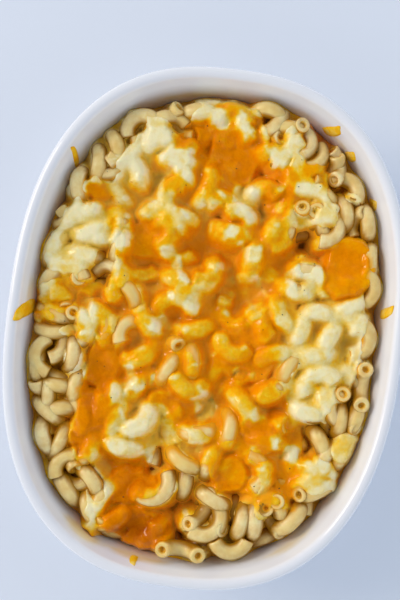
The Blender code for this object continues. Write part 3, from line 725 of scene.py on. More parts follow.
class Heap:
    """The heap as it is poured: heights on a grid, and the elbows placed so far."""

    def __init__(self):
        self.kinds = elbow_kinds()
        self.clouds = [elbow_cloud(kind, 30, 16) for kind in self.kinds]
        self.draw = np.random.default_rng(POUR_SEED)
        self.elbows = []
        x = np.arange(-DISH_WIDTH / 2 - 4, DISH_WIDTH / 2 + 4, POUR_STEP)
        y = np.arange(-DISH_LENGTH / 2 - 4, DISH_LENGTH / 2 + 4, POUR_STEP)
        self.start = x[0], y[0]
        grid_x, grid_y = np.meshgrid(x, y, indexing="ij")
        self.top = np.full(grid_x.shape, HEAP_FLOOR)
        for height in np.arange(HEAP_FLOOR, 76, 0.5):
            outside = oval_share(grid_x, grid_y, inside_inset(min(height, DISH_HEIGHT))) > 1
            self.top[outside] = height

    def drop(self, place, pose, anchor, kind, dress, settling):
        """Tries poses near the wished one, and keeps the one that comes to lie lowest."""
        tries, wander, tilt, swing = SETTLING[settling]
        cloud = self.clouds[kind]
        first, second = pose
        base = np.array([first, second, first.cross(second)]).T
        wall = inside_inset(WALL_CLEARANCE_HEIGHT) + WALL_CLEARANCE
        best = None
        for number in range(tries):
            shake = 0 if number == 0 else 1
            turned = base
            for axis, most in (((0, 0, 1), swing), (tuple(first), tilt), (tuple(second), tilt)):
                angle = math.radians(self.draw.uniform(-most, most)) * shake
                turned = turn_about(axis, angle) @ turned
            at = turned @ np.array(anchor)
            shift = self.draw.uniform(-wander, wander, 2) * shake
            x, y = place[0] - at[0] + shift[0], place[1] - at[1] + shift[1]
            body = cloud @ turned.T
            for _ in range(3):
                share = oval_share(body[:, 0] + x, body[:, 1] + y, wall)
                over = share.max() - WALL_SHARE
                if over <= 0:
                    break
                reach = math.hypot(x, y)
                x -= x / reach * over * reach * 1.1
                y -= y / reach * over * reach * 1.1
            i, j = nearest_cells(self.top, self.start, POUR_STEP, body[:, 0] + x, body[:, 1] + y)
            z = (self.top[i, j] - body[:, 2]).max()
            height = z + body[:, 2].mean()
            cost = height + WANDER_COST * math.hypot(*shift)
            if best is None or cost < best[0]:
                best = (cost, x, y, z, turned, body, i, j)
        _, x, y, z, turned, body, i, j = best
        z -= PRESSED_IN
        z = min(z, FOOD_CEILING - body[:, 2].max())
        np.maximum.at(self.top, (i, j), body[:, 2] + z)
        self.elbows.append({"centre": (x, y, z), "turn": turned, "kind": kind, "dress": dress})

    def any_kind(self):
        return int(self.draw.integers(0, ELBOW_KINDS))

    def pour(self):
        self.pour_lower()
        self.pour_arched(DEEP_ELBOWS)
        for x, y, heading, dress in LYING_ELBOWS:
            self.drop((x, y), lying_pose(heading), (0, 0, 0), self.any_kind(), dress, "lying")
        for x, y, azimuth, steepness, twist in OPEN_ELBOWS:
            kind = self.any_kind()
            bend, half, _ = self.kinds[kind]
            pose = open_pose(azimuth, steepness, twist, half)
            end = (bend * math.cos(half), -bend * math.sin(half), 0)
            self.drop((x, y), pose, end, kind, 3, "open")
        self.pour_arched(ARCHED_ELBOWS)
        for x, y, heading in UPTURNED_ELBOWS:
            pose = Vector((0, 0, -1)), compass(heading)
            self.drop((x, y), pose, (0, 0, 0), ELBOW_KINDS - 1, 3, "upturned")

    def pour_arched(self, rows):
        for x, y, heading, dress in rows:
            kind = self.any_kind()
            pose = arched_pose(heading, self.draw.uniform(-35, 35))
            self.drop((x, y), pose, (self.kinds[kind][0], 0, 0), kind, dress, "arched")

    def pour_lower(self):
        """The elbows underneath, any way round."""
        middles = []
        for _ in range(LOWER_TRIES):
            x = self.draw.uniform(-DISH_WIDTH / 2, DISH_WIDTH / 2)
            y = self.draw.uniform(-DISH_LENGTH / 2, DISH_LENGTH / 2)
            if oval_share(x, y, LOWER_INSET) > 1 or len(middles) >= LOWER_ELBOWS:
                continue
            if any(math.hypot(x - a, y - b) < LOWER_SPACING for a, b in middles):
                continue
            middles.append((x, y))
            heading = self.draw.uniform(-180, 180)
            if self.draw.uniform() < 0.6:
                pose, anchor = lying_pose(heading), (0, 0, 0)
            else:
                pose, anchor = arched_pose(heading, self.draw.uniform(-50, 50)), (BEND_RADIUS, 0, 0)
            self.drop((x, y), pose, anchor, self.any_kind(), 0, "lower")


# The melted cheese.

class Sheet:
    """Everything that is known about the heap's surface, seen from above on a fine grid."""

    def __init__(self, heap):
        self.x = np.arange(-DISH_WIDTH / 2, DISH_WIDTH / 2 + SHEET_STEP, SHEET_STEP)
        self.y = np.arange(-DISH_LENGTH / 2, DISH_LENGTH / 2 + SHEET_STEP, SHEET_STEP)
        self.grid_x, self.grid_y = np.meshgrid(self.x, self.y, indexing="ij")
        self.tubes = np.full(self.grid_x.shape, SHEET_LOWEST)
        self.owner = np.full(self.grid_x.shape, -1)
        clouds = [elbow_cloud(kind, 84, 40) for kind in heap.kinds]
        for number, elbow in enumerate(heap.elbows):
            self.stamp(number, clouds[elbow["kind"]] @ elbow["turn"].T + np.array(elbow["centre"]))
        self.paint()
        self.drape(heap)

    def noise(self, *layers):
        """Smooth noise over the sheet, from layers of cell size, seed and strength."""
        places = self.grid_x, self.grid_y
        return sum(strength * soft_noise(*places, cell, seed) for cell, seed, strength in layers)

    def stamp(self, number, body):
        body = body[np.argsort(body[:, 2])]
        i, j = nearest_cells(self.tubes, (self.x[0], self.y[0]), SHEET_STEP, body[:, 0], body[:, 1])
        own = np.full(self.tubes.shape, -1e9)
        own[i, j] = body[:, 2]
        higher = own > self.tubes
        self.tubes[higher] = own[higher]
        self.owner[higher] = number

    def oval(self, x, y, half_length, half_width, heading, power=2.0):
        """How far inside an oval each place lies, in mm. A higher power makes it squarer."""
        turn = math.radians(heading)
        dx = self.grid_x - x
        dy = self.grid_y - y
        along = (dx * math.cos(turn) + dy * math.sin(turn)) / half_length
        across = (dy * math.cos(turn) - dx * math.sin(turn)) / half_width
        return (1 - (np.abs(along) ** power + np.abs(across) ** power) ** (1 / power)) * half_width

    def lay(self, kind, ragged, row):
        """Lays one kind of cover over an oval, and tells how far inside it each place lies."""
        stray, *values = COVER_KINDS[kind]
        inside = self.oval(*row) + ragged * stray
        mask = smooth_step(-1.2, 1.2, inside)
        for grid, value in zip((self.coat, self.fill, self.even), values):
            grid += (value - grid) * mask
        return inside

    def paint(self):
        """Lays the cover down: how it coats, how it fills, how even it is and how white."""
        shape = self.grid_x.shape
        self.coat, self.fill, self.even = (np.full(shape, float(value)) for value in COVER_KINDS["bare"][1:])
        self.white = np.full(shape, 0.5)
        self.dab = np.zeros(shape)
        self.gap = np.zeros(shape)
        ragged = self.noise((9, 21, 1), (4, 22, 0.6))
        for kind, rows in COVER:
            for *oval, white in rows:
                inside = self.lay(kind, ragged, oval)
                self.white += (white - self.white) * smooth_step(-4, 4, inside)
        for oval in GAPS:
            self.gap = np.maximum(self.gap, smooth_step(-1.0, 1.2, self.lay("gap", ragged, oval)))
        fine = self.noise((3.6, 26, 1), (2, 27, 0.4))
        broken = self.noise((6, 35, 1)) + 0.6 * fine
        for x, y, half_length, half_width, heading, white, rise in DABS:
            inside = self.oval(x, y, half_length, half_width, heading, 2.8) + 0.6 * fine
            share = smooth_step(-1.5, 1.5, inside + DAB_BREAK * broken)
            self.white += (white - self.white) * share
            crown = np.sqrt(1 - (1 - np.clip((inside + 0.6) / (0.7 * half_width), 0, 1)) ** 2)
            self.dab = np.maximum(self.dab, rise * crown)
        draw = np.random.default_rng(BIT_SEED)
        for _ in range(BIT_COUNT):
            way, reach = draw.uniform(0, 2 * math.pi), math.sqrt(draw.uniform(0, 1))
            x, y = 66 * reach * math.cos(way), 3 + 98 * reach * math.sin(way)
            half_width = draw.uniform(*BIT_WIDTH)
            half_length = draw.uniform(*BIT_LENGTH)
            inside = self.oval(x, y, half_length, half_width, draw.uniform(0, 180), 3.0) + 0.3 * fine
            share = smooth_step(-0.7, 0.7, inside) * smooth_step(-0.7, 0, self.white)
            self.white += draw.choice((-0.3, -0.2, 0.25, 0.4, 0.6)) * share
            self.dab = np.maximum(self.dab, draw.uniform(0.3, 0.8) * smooth_step(-0.5, half_width, inside))
        self.white = np.clip(self.white, -1, 1)

    def drape(self, heap):
        """Lets the cheese sag over the tubes."""
        dress = np.array([elbow["dress"] for elbow in heap.elbows] + [0])[self.owner]
        bare = smooth_step(0.35, 0.65, blur((dress >= 2).astype(float), 0.9))
        ended = smooth_step(0.2, 0.5, blur((dress == 3).astype(float), 1.5))
        draped = smooth_step(0.05, -0.2, self.noise((9, 38, 1)) + BARE_SHARE)
        bare *= 1 - draped * (1 - ended) * smooth_step(-1.5, 0, self.coat)
        coat = self.coat + 0.3 * self.noise((7, 23, 1), (3, 25, 0.5)) + self.dab
        coat = coat * (1 - bare) + np.minimum(coat, -1.6) * bare
        level = self.level(3.4)
        level += (self.level(8) - level) * self.even
        pits = self.noise((5, 36, 1), (2.6, 37, 0.5))
        dimple = smooth_step(0.3, 0.9, pits) * smooth_step(0.5, 0.75, self.white)
        fill = self.fill + self.noise((8, 24, 0.7)) - DIMPLE_DEPTH * dimple
        fill = (fill + self.dab) * (1 - bare) + np.minimum(fill, 0.6 - ended) * bare
        # Sauce has run down to the wall and fills the corner there.
        at_wall = oval_share(self.grid_x, self.grid_y, inside_inset(FOOD_EDGE))
        fill += WALL_SAUCE * smooth_step(0.94, 1.0, at_wall)
        over = np.maximum(self.tubes, blur(self.tubes, 1.1 / SHEET_STEP)) + coat
        between = level + fill
        sheet = (over + between + np.sqrt((over - between) ** 2 + SOFT_JOIN ** 2)) / 2
        # In a gap the cheese still lies thinly over the tubes; the crevice's dark is painted shade, through
        # the depth.
        sheet = np.where(self.gap > 0.02, np.maximum(sheet, self.tubes + 0.2), sheet)
        slab, on_slab = self.slab()
        sheet = np.maximum(sheet, slab)
        self.white += (SLAB_WHITE - self.white) * on_slab
        for _ in range(6):
            for dx, dy in ((1, 0), (-1, 0), (0, 1), (0, -1), (1, 1), (1, -1), (-1, 1), (-1, -1)):
                moved = np.roll(sheet, (dx, dy), axis=(0, 1))
                sheet = np.maximum(sheet, moved - STEEPEST * SHEET_STEP * math.hypot(dx, dy))
        sheet = blur(sheet, 0.38 / SHEET_STEP)
        lumps = self.noise((3.4, 33, 1), (1.8, 34, 0.5))
        sheet += LUMP_HEIGHT * lumps * smooth_step(-1, 0.5, self.fill)
        sheet = np.clip(sheet, SHEET_LOWEST, FOOD_CEILING)
        self.sheet = sheet
        self.around = blur(np.maximum(sheet, self.tubes), SURROUNDINGS / SHEET_STEP)
        self.thickness = np.clip(sheet - self.tubes, 0, 4)
        # Depth below the evened-out surface, deeper still in gaps and dimples, for the painted shade and the
        # dip colour.
        self.depth = np.clip(self.around - sheet + GAP_SHADE * self.gap + 0.8 * dimple, 0, DEEPEST)
        self.relief = np.clip(sheet - blur(sheet, 3.6 / SHEET_STEP), -1.5, 1.5)
        flow = self.noise((5, 28, 1), (2.4, 29, 0.6))
        pale = blur((dress == 1).astype(float), 1.2 / SHEET_STEP)
        pale *= smooth_step(-0.8, 1.2, self.relief + 1.1 * flow) * (1 - on_slab)
        self.white = np.maximum(self.white, self.white + (0.85 - self.white) * pale)

    def level(self, width):
        """Height of the tubes blurred over a width, counting only what is inside the dish."""
        inside = (oval_share(self.grid_x, self.grid_y, inside_inset(FOOD_EDGE) + 1) < 1).astype(float)
        cells = width / SHEET_STEP
        return blur(self.tubes * inside, cells) / np.maximum(blur(inside, cells), 0.02)

    def slab(self):
        """Height of the thick slab's rounded top, far down where it isn't, and a mask of the slab."""
        outline = np.array(SLAB_OUTLINE, dtype=float)
        distance = np.full(self.grid_x.shape, 1e9)
        inside = np.zeros(self.grid_x.shape, bool)
        for (ax, ay), (bx, by) in zip(outline, np.roll(outline, -1, axis=0)):
            run = (bx - ax, by - ay)
            t = ((self.grid_x - ax) * run[0] + (self.grid_y - ay) * run[1]) / (run[0] ** 2 + run[1] ** 2)
            t = np.clip(t, 0, 1)
            distance = np.minimum(distance, np.hypot(
                self.grid_x - ax - t * run[0], self.grid_y - ay - t * run[1]))
            crosses = (ay > self.grid_y) != (by > self.grid_y)
            if by != ay:
                inside ^= crosses & (self.grid_x < ax + (self.grid_y - ay) * run[0] / (by - ay))
        edge = np.clip(distance / SLAB_EDGE, 0, 1)
        crown = SLAB_THICKNESS * np.sqrt(1 - (1 - edge) ** 2)
        on_slab = smooth_step(-1.2, 0.6, np.where(inside, distance, -distance))
        return np.where(inside, self.level(9) + crown - 0.5, -1e9), on_slab

    def at(self, grid, points):
        """Values of a grid at points, evenly mixed between its cells."""
        u = np.clip((points[:, 0] - self.x[0]) / SHEET_STEP, 0, len(self.x) - 1.001)
        v = np.clip((points[:, 1] - self.y[0]) / SHEET_STEP, 0, len(self.y) - 1.001)
        i, j = u.astype(int), v.astype(int)
        return mix_corners(grid, i, j, i + 1, j + 1, u - i, v - j)


def settle_order(elements, key):
    """Puts the points, edges or faces of a mesh in order by a key."""
    for number, element in enumerate(sorted(elements, key=key)):
        element.index = number
    elements.sort()


def make_cheese(sheet, material):
    """One closed body: the draped top, and plain sides and floor inside the dish."""
    share = oval_share(sheet.grid_x, sheet.grid_y, inside_inset(sheet.sheet) + 0.05)
    inside = share < 1
    cell = inside[:-1, :-1] | inside[1:, :-1] | inside[:-1, 1:] | inside[1:, 1:]
    used = np.zeros(inside.shape, bool)
    for di in (0, 1):
        for dj in (0, 1):
            used[di:di + cell.shape[0], dj:dj + cell.shape[1]] |= cell
    index = np.full(inside.shape, -1)
    index[used] = np.arange(used.sum())
    pull = np.where(inside, 1, 1 / np.maximum(share, 1e-6))
    points = np.stack([(sheet.grid_x * pull)[used], (sheet.grid_y * pull)[used], sheet.sheet[used]], axis=1)
    ci, cj = np.nonzero(cell)
    faces = np.stack([index[ci, cj], index[ci + 1, cj], index[ci + 1, cj + 1], index[ci, cj + 1]], axis=1)
    values = {name: getattr(sheet, name)[used] for name in ("white", "thickness", "depth", "relief")}

    bm = bmesh.new()
    verts = [bm.verts.new(point) for point in (points * MM).tolist()]
    for face in faces.tolist():
        bm.faces.new([verts[k] for k in face])
    bm.verts.index_update()
    edges = [edge for edge in bm.edges if edge.is_boundary]
    for height in (26, 19, 10, 6.4):
        ring = bmesh.ops.extrude_edge_only(bm, edges=edges)["geom"]
        edges = [part for part in ring if isinstance(part, bmesh.types.BMEdge)]
        low = height if height > FLOOR_TOP + CORNER_RADIUS else FLOOR_TOP + CORNER_RADIUS
        for vert in (part for part in ring if isinstance(part, bmesh.types.BMVert)):
            inset = inside_inset(low) + 0.4 + (0 if height > 12 else CORNER_RADIUS - height)
            around = oval_share(vert.co.x / MM, vert.co.y / MM, inset)
            vert.co.x /= around
            vert.co.y /= around
            vert.co.z = height * MM
    bmesh.ops.holes_fill(bm, edges=edges, sides=0)
    bmesh.ops.triangulate(bm, faces=[face for face in bm.faces if len(face.verts) > 4])
    bmesh.ops.recalc_face_normals(bm, faces=bm.faces)
    # Extruding adds its parts in an order that changes from run to run, so all are put in a fixed one.
    bm.verts.index_update()
    settle_order(bm.verts, lambda vert: (0, vert.index) if vert.index < len(points) else (1, *vert.co))
    for elements in (bm.edges, bm.faces):
        settle_order(elements, lambda element: sorted(vert.index for vert in element.verts))
    mesh = bpy.data.meshes.new("melted_cheese")
    bm.to_mesh(mesh)
    bm.free()
    mesh.shade_smooth()
    extra = len(mesh.vertices) - len(points)
    for name, value in values.items():
        filler = 4.0 if name == "depth" else 0.3
        set_attribute(mesh, name, np.concatenate([value, np.full(extra, filler)]))
    return put_in_scene("melted_cheese", mesh, material)


def make_macaroni(heap, sheet, material):
    """All the elbows that show, made by the two trees and then stained where the cheese touches them."""
    library = bpy.data.collections.new("elbow kinds")
    bpy.context.scene.collection.children.link(library)
    tree = elbow_tree()
    for number, (bend, half, tube) in enumerate(heap.kinds):
        blank = bpy.data.meshes.new("blank")
        kind = bpy.data.objects.new(f"elbow_kind_{number:02d}", blank)
        library.objects.link(kind)
        tree_modifier(kind, tree, {
            "Bend radius": bend * MM, "Half angle": half, "Tube radius": tube * MM,
            "Bore radius": BORE_RADIUS * MM, "Bore depth": BORE_DEPTH * MM, "Material": material,
        })
        kind.data = plain_mesh(kind)
        kind.modifiers.clear()
    shown = np.bincount(sheet.owner[sheet.owner >= 0], minlength=len(heap.elbows))
    scatter = heap_tree()
    pieces = []
    rows = [elbow for number, elbow in enumerate(heap.elbows) if shown[number] >= FEWEST_CELLS]
    middle = len(rows) // 2
    for name, part in (("macaroni_below", rows[:middle]), ("macaroni_above", rows[middle:])):
        cloud = mesh_from(name, [elbow["centre"] for elbow in part], [])
        turns = [tuple(Matrix(elbow["turn"].tolist()).to_euler()) for elbow in part]
        cloud.attributes.new("turn", "FLOAT_VECTOR", "POINT").data.foreach_set("vector", np.ravel(turns))
        kinds = [elbow["kind"] for elbow in part]
        cloud.attributes.new("kind", "INT", "POINT").data.foreach_set("value", kinds)
        set_attribute(cloud, "tone", np.random.default_rng(TONE_SEED).uniform(0, 1, len(part)))
        set_attribute(cloud, "bare", [BARENESS[elbow["dress"]] for elbow in part])
        heap_object = put_in_scene(name, cloud)
        tree_modifier(heap_object, scatter, {
            "Elbows": library, "Unevenness": TUBE_UNEVENNESS * 2 * MM,
            "Waves per metre": 1 / (TUBE_WAVE * MM), "Material": material,
        })
        mesh = plain_mesh(heap_object)
        heap_object.modifiers.clear()
        heap_object.data = mesh
        for spare in ("turn", "kind"):
            if spare in mesh.attributes:
                mesh.attributes.remove(mesh.attributes[spare])
        mesh.shade_smooth()
        stain(mesh, sheet)
        pieces.append(heap_object)
    for kind in list(library.objects):
        bpy.data.objects.remove(kind)
    bpy.data.collections.remove(library)
    return pieces


def stain(mesh, sheet):
    """Tells each point of the tubes its sauce, its depth, its painted shade on the sides and the cheese that
    lies there.
    """
    points = points_of(mesh)
    wet = soft_noise(points[:, 0], points[:, 1], 3, 31)
    above = points[:, 2] - sheet.at(sheet.sheet, points)
    around = sheet.at(sheet.around, points)
    cover = smooth_step(-4.5, -1.5, sheet.at(sheet.fill, points))
    bare = np.empty(len(points), dtype=np.float32)
    mesh.attributes["bare"].data.foreach_get("value", bare)
    reach = 2.2 - 0.6 * bare + 0.9 * wet
    set_attribute(mesh, "sauce", (1 - smooth_step(0.1, reach, above)) * cover)
    normals = np.empty(len(points) * 3, dtype=np.float32)
    mesh.vertex_normals.foreach_get("vector", normals)
    sides = 1 - np.clip(normals.reshape(-1, 3)[:, 2], 0, 1)
    # Depth below the surroundings, deeper still in a gap, for the painted shade deep down.
    depth = around - points[:, 2] + GAP_SHADE * sheet.at(sheet.gap, points)
    set_attribute(mesh, "depth", np.clip(depth, 0, DEEPEST))
    # Painted shade on the low, steep sides of a tube, stronger where cheese covers it.
    set_attribute(mesh, "golden", smooth_step(0, 3.2, depth + SIDE_SHADE * (1 + 0.7 * cover) * sides))
    set_attribute(mesh, "white", sheet.at(sheet.white, points))
    set_attribute(mesh, "cover", cover)


# Wall shreds and pepper.

def lump(points, faces, place, axes, rings=8, segments=14, taper=0.0, bend=0.0, blunt=1.0):
    """Adds a rounded, slightly uneven lump to lists of points and faces, narrower and bent towards one end.
    The lower blunt is, the squarer its outline."""
    start = len(points)
    axes = np.array(axes)
    for r in range(1, rings):
        tilt = math.pi * r / rings
        for s in range(segments):
            turn = 2 * math.pi * s / segments
            uneven = 1 + 0.12 * math.sin(2 * turn + place[0]) + 0.08 * math.sin(3 * turn + place[1])
            up = math.copysign(abs(math.sin(turn)) ** blunt, math.sin(turn))
            over = math.copysign(abs(math.cos(turn)) ** blunt, math.cos(turn))
            along = math.sin(tilt) * up * uneven
            across = math.sin(tilt) * over * uneven * (1 - taper * along) + bend * along ** 2
            local = np.array([across, along, math.cos(tilt) * (1 - 0.6 * taper * along)])
            points.append(tuple(np.array(place) + local @ axes))
    points.append(tuple(np.array(place) + axes[2]))
    points.append(tuple(np.array(place) - axes[2]))
    top, bottom = len(points) - 2, len(points) - 1
    for s in range(segments):
        after = (s + 1) % segments
        faces.append((top, start + s, start + after))
        last = start + (rings - 2) * segments
        faces.append((bottom, last + after, last + s))
        for r in range(rings - 2):
            low = start + r * segments
            faces.append((low + s, low + segments + s, low + segments + after, low + after))


def on_wall(direction, along, rise):
    """A point on the inside wall or the lip above it, and the way that faces off the glaze there.
    Along is mm sideways from the direction, clockwise; rise is mm up from the lip's inner edge."""
    radius = LIP_WIDTH / 2
    if rise > 0:
        steep = rise / radius
        inset = radius * (1 + math.cos(steep))
        height = DISH_HEIGHT - radius + radius * math.sin(steep)
    else:
        steep = math.atan(WALL_SLOPE)
        height = DISH_HEIGHT - radius + rise * math.cos(steep)
        inset = LIP_WIDTH - rise * math.sin(steep)
    turn = math.radians(direction)
    share = oval_share(math.cos(turn), math.sin(turn), inset)
    x = math.cos(turn) / share + along * math.sin(turn)
    y = math.sin(turn) / share - along * math.cos(turn)
    share = oval_share(x, y, inset)
    x /= share
    y /= share
    away = Vector((
        math.copysign(abs(x) ** (OVAL_POWER - 1) / (DISH_WIDTH / 2 - inset) ** OVAL_POWER, x),
        math.copysign(abs(y) ** (OVAL_POWER - 1) / (DISH_LENGTH / 2 - inset) ** OVAL_POWER, y),
        0,
    )).normalized()
    off_wall = Vector((-away.x, -away.y, 0)) * math.cos(steep) + Vector((0, 0, math.sin(steep)))
    return Vector((x, y, height)), off_wall


def make_wall_shreds(material):
    points, faces = [], []
    for direction, rise, length, width, lean in WALL_SHREDS:
        first = len(points)
        sin, cos = math.sin(math.radians(lean)), math.cos(math.radians(lean))
        flat = ((-sin * width / 2, cos * width / 2, 0), (cos * length / 2, sin * length / 2, 0),
                (0, 0, SHRED_THICKNESS))
        lump(points, faces, (0, 0, 0), flat, rings=11, segments=32, taper=0.3, bend=0.3, blunt=0.6)
        for number in range(first, len(points)):
            along, up, proud = points[number]
            place, off_wall = on_wall(direction, along, rise + up)
            points[number] = tuple(place + off_wall * (proud + 0.3))
    mesh = mesh_from("cheddar_on_the_wall", points, faces)
    outward(mesh)
    for name, value in (("white", 0.45), ("thickness", 1.2), ("depth", 0.0), ("relief", 0.3)):
        set_attribute(mesh, name, np.full(len(points), value))
    return put_in_scene("cheddar_on_the_wall", mesh, material)


def make_pepper(sheet, material):
    """Fine specks of ground pepper lying on the cheese and the tubes."""
    draw = np.random.default_rng(PEPPER_SEED)
    points, faces = [], []
    top = np.maximum(sheet.sheet, sheet.tubes)
    count = 0
    while count < PEPPER_COUNT:
        x = draw.uniform(-80, 80)
        y = draw.uniform(-110, 110)
        if oval_share(x, y, PEPPER_INSET) > 1:
            continue
        count += 1
        z = float(sheet.at(top, np.array([[x, y, 0]]))[0])
        size = draw.uniform(*PEPPER_SIZE)
        turn = draw.uniform(0, math.pi)
        axes = (
            (size * math.cos(turn), size * math.sin(turn), 0),
            (-size * 0.7 * math.sin(turn), size * 0.7 * math.cos(turn), 0),
            (0, 0, size * 0.5),
        )
        lump(points, faces, (x, y, z + 0.1), axes, rings=4, segments=6)
    mesh = mesh_from("ground_pepper", points, faces)
    outward(mesh)
    return put_in_scene("ground_pepper", mesh, material)


# Materials.

def new_material(name):
    material = bpy.data.materials.new(name)
    material.use_nodes = True
    tree = material.node_tree
    coords = add(tree, "ShaderNodeTexCoord", out="Object")
    return material, tree, tree.nodes["Principled BSDF"], coords


def glazed_stoneware():
    # White glazed stoneware: a thick glossy coat over a pale body, with a faint slow ripple from firing.
    # Baked fat leaves a thin yellow smear on it in patches just over the food.
    material, tree, shader, coords = new_material("white glazed stoneware")
    cloud = add(tree, "ShaderNodeTexNoise", {"Vector": coords, "Scale": 1 / (60 * MM)})
    clean = add(tree, "ShaderNodeMix", {0: cloud, 6: colour("#F0F1F4"), 7: colour("#E9EBF0")}, **MIX_COLOURS)
    patches = add(tree, "ShaderNodeTexNoise", {"Vector": coords, "Scale": 1 / (9 * MM), "Detail": 4.0})
    soiled = add(tree, "ShaderNodeAttribute", out="Fac", attribute_name="smear")
    smear = add(tree, "ShaderNodeMath", {0: soiled, 1: 1.6, 2: -0.55}, operation="MULTIPLY_ADD")
    smear = add(tree, "ShaderNodeMath", {0: smear, 1: patches}, operation="ADD", use_clamp=True)
    smear = add(tree, "ShaderNodeMath", {0: smear, 1: soiled}, operation="MULTIPLY", use_clamp=True)
    tint = add(tree, "ShaderNodeMix", {0: smear, 6: clean, 7: colour("#EAD292")}, **MIX_COLOURS)
    ripple = add(tree, "ShaderNodeTexNoise", {"Vector": coords, "Scale": 1 / (18 * MM)})
    feed(tree, shader, {
        "Base Color": tint, "Roughness": 0.25, "IOR": 1.5, "Coat Weight": 0.6, "Coat Roughness": 0.07,
        "Normal": add(tree, "ShaderNodeBump", {"Height": ripple, "Distance": 0.12 * MM}),
    })
    return material


def cooked_pasta():
    # Boiled durum wheat: cream, slightly see-through and moist, stained by the cheese that it touches,
    # and painted brown deep in the gaps, partly for the thin sauce that collects there and partly as painted
    # shade.
    material, tree, shader, coords = new_material("boiled durum macaroni")
    tone, cover, white, sauce, depth, golden, bore = (
        add(tree, "ShaderNodeAttribute", out="Fac", attribute_name=name)
        for name in ("tone", "cover", "white", "sauce", "depth", "golden", "bore")
    )
    blotch = add(tree, "ShaderNodeTexNoise", {"Vector": coords, "Scale": 1 / (5 * MM), "Detail": 3.0})
    blotched = add(tree, "ShaderNodeMapRange", {
        "Value": blotch, "From Min": 0.32, "From Max": 0.68, "To Max": 0.5,
    })
    clear = add(tree, "ShaderNodeMath", {0: cover, 1: -0.6, 2: 1.0}, operation="MULTIPLY_ADD")
    blotched = add(tree, "ShaderNodeMath", {0: blotched, 1: clear}, operation="MULTIPLY")
    warmed = add(tree, "ShaderNodeMath", {0: cover, 1: 0.2}, operation="MULTIPLY")
    # Painted shade: brown deep down in the gaps.
    shaded = add(tree, "ShaderNodeMapRange", {
        "Value": depth, "From Min": 3.0, "From Max": 7.6, "To Max": 0.9,
    })
    body, stain, painted_side_shade = (
        add(tree, "ShaderNodeMix", {0: share, 6: colour(one), 7: colour(other)}, **MIX_COLOURS)
        for share, one, other in (
            (tone, "#F3D88C", "#FBE8AC"), (white, "#F6AC14", "#F2DA8C"), (cover, "#B27C14", "#EAA61C"),
        )
    )
    # Blotches, cheese and sauce tint it. Its low sides get a painted shade, warm as if light came through it
    # from the sauce below. Deep down it gets a painted brown shade, and in the bore a painted yellow shade.
    for share, tint in (
        (blotched, colour("#DEAC46")), (warmed, colour("#F2C444")), (sauce, stain), (golden, painted_side_shade),
        (shaded, colour("#8A4808")), (bore, colour("#EEBE38")),
    ):
        body = add(tree, "ShaderNodeMix", {0: share, 6: body, 7: tint}, **MIX_COLOURS)
    fine = add(tree, "ShaderNodeTexNoise", {"Vector": coords, "Scale": 1 / (0.7 * MM)})
    feed(tree, shader, {
        "Base Color": body, "Roughness": 0.4, "IOR": 1.4, "Specular IOR Level": 0.25, "Coat Weight": 0.5,
        "Coat Roughness": 0.2, "Subsurface Weight": 0.3, "Subsurface Scale": 0.0008,
        "Subsurface Radius": (1.0, 0.75, 0.35),
        "Normal": add(tree, "ShaderNodeBump", {"Height": fine, "Distance": 0.05 * MM}),
    })
    return material


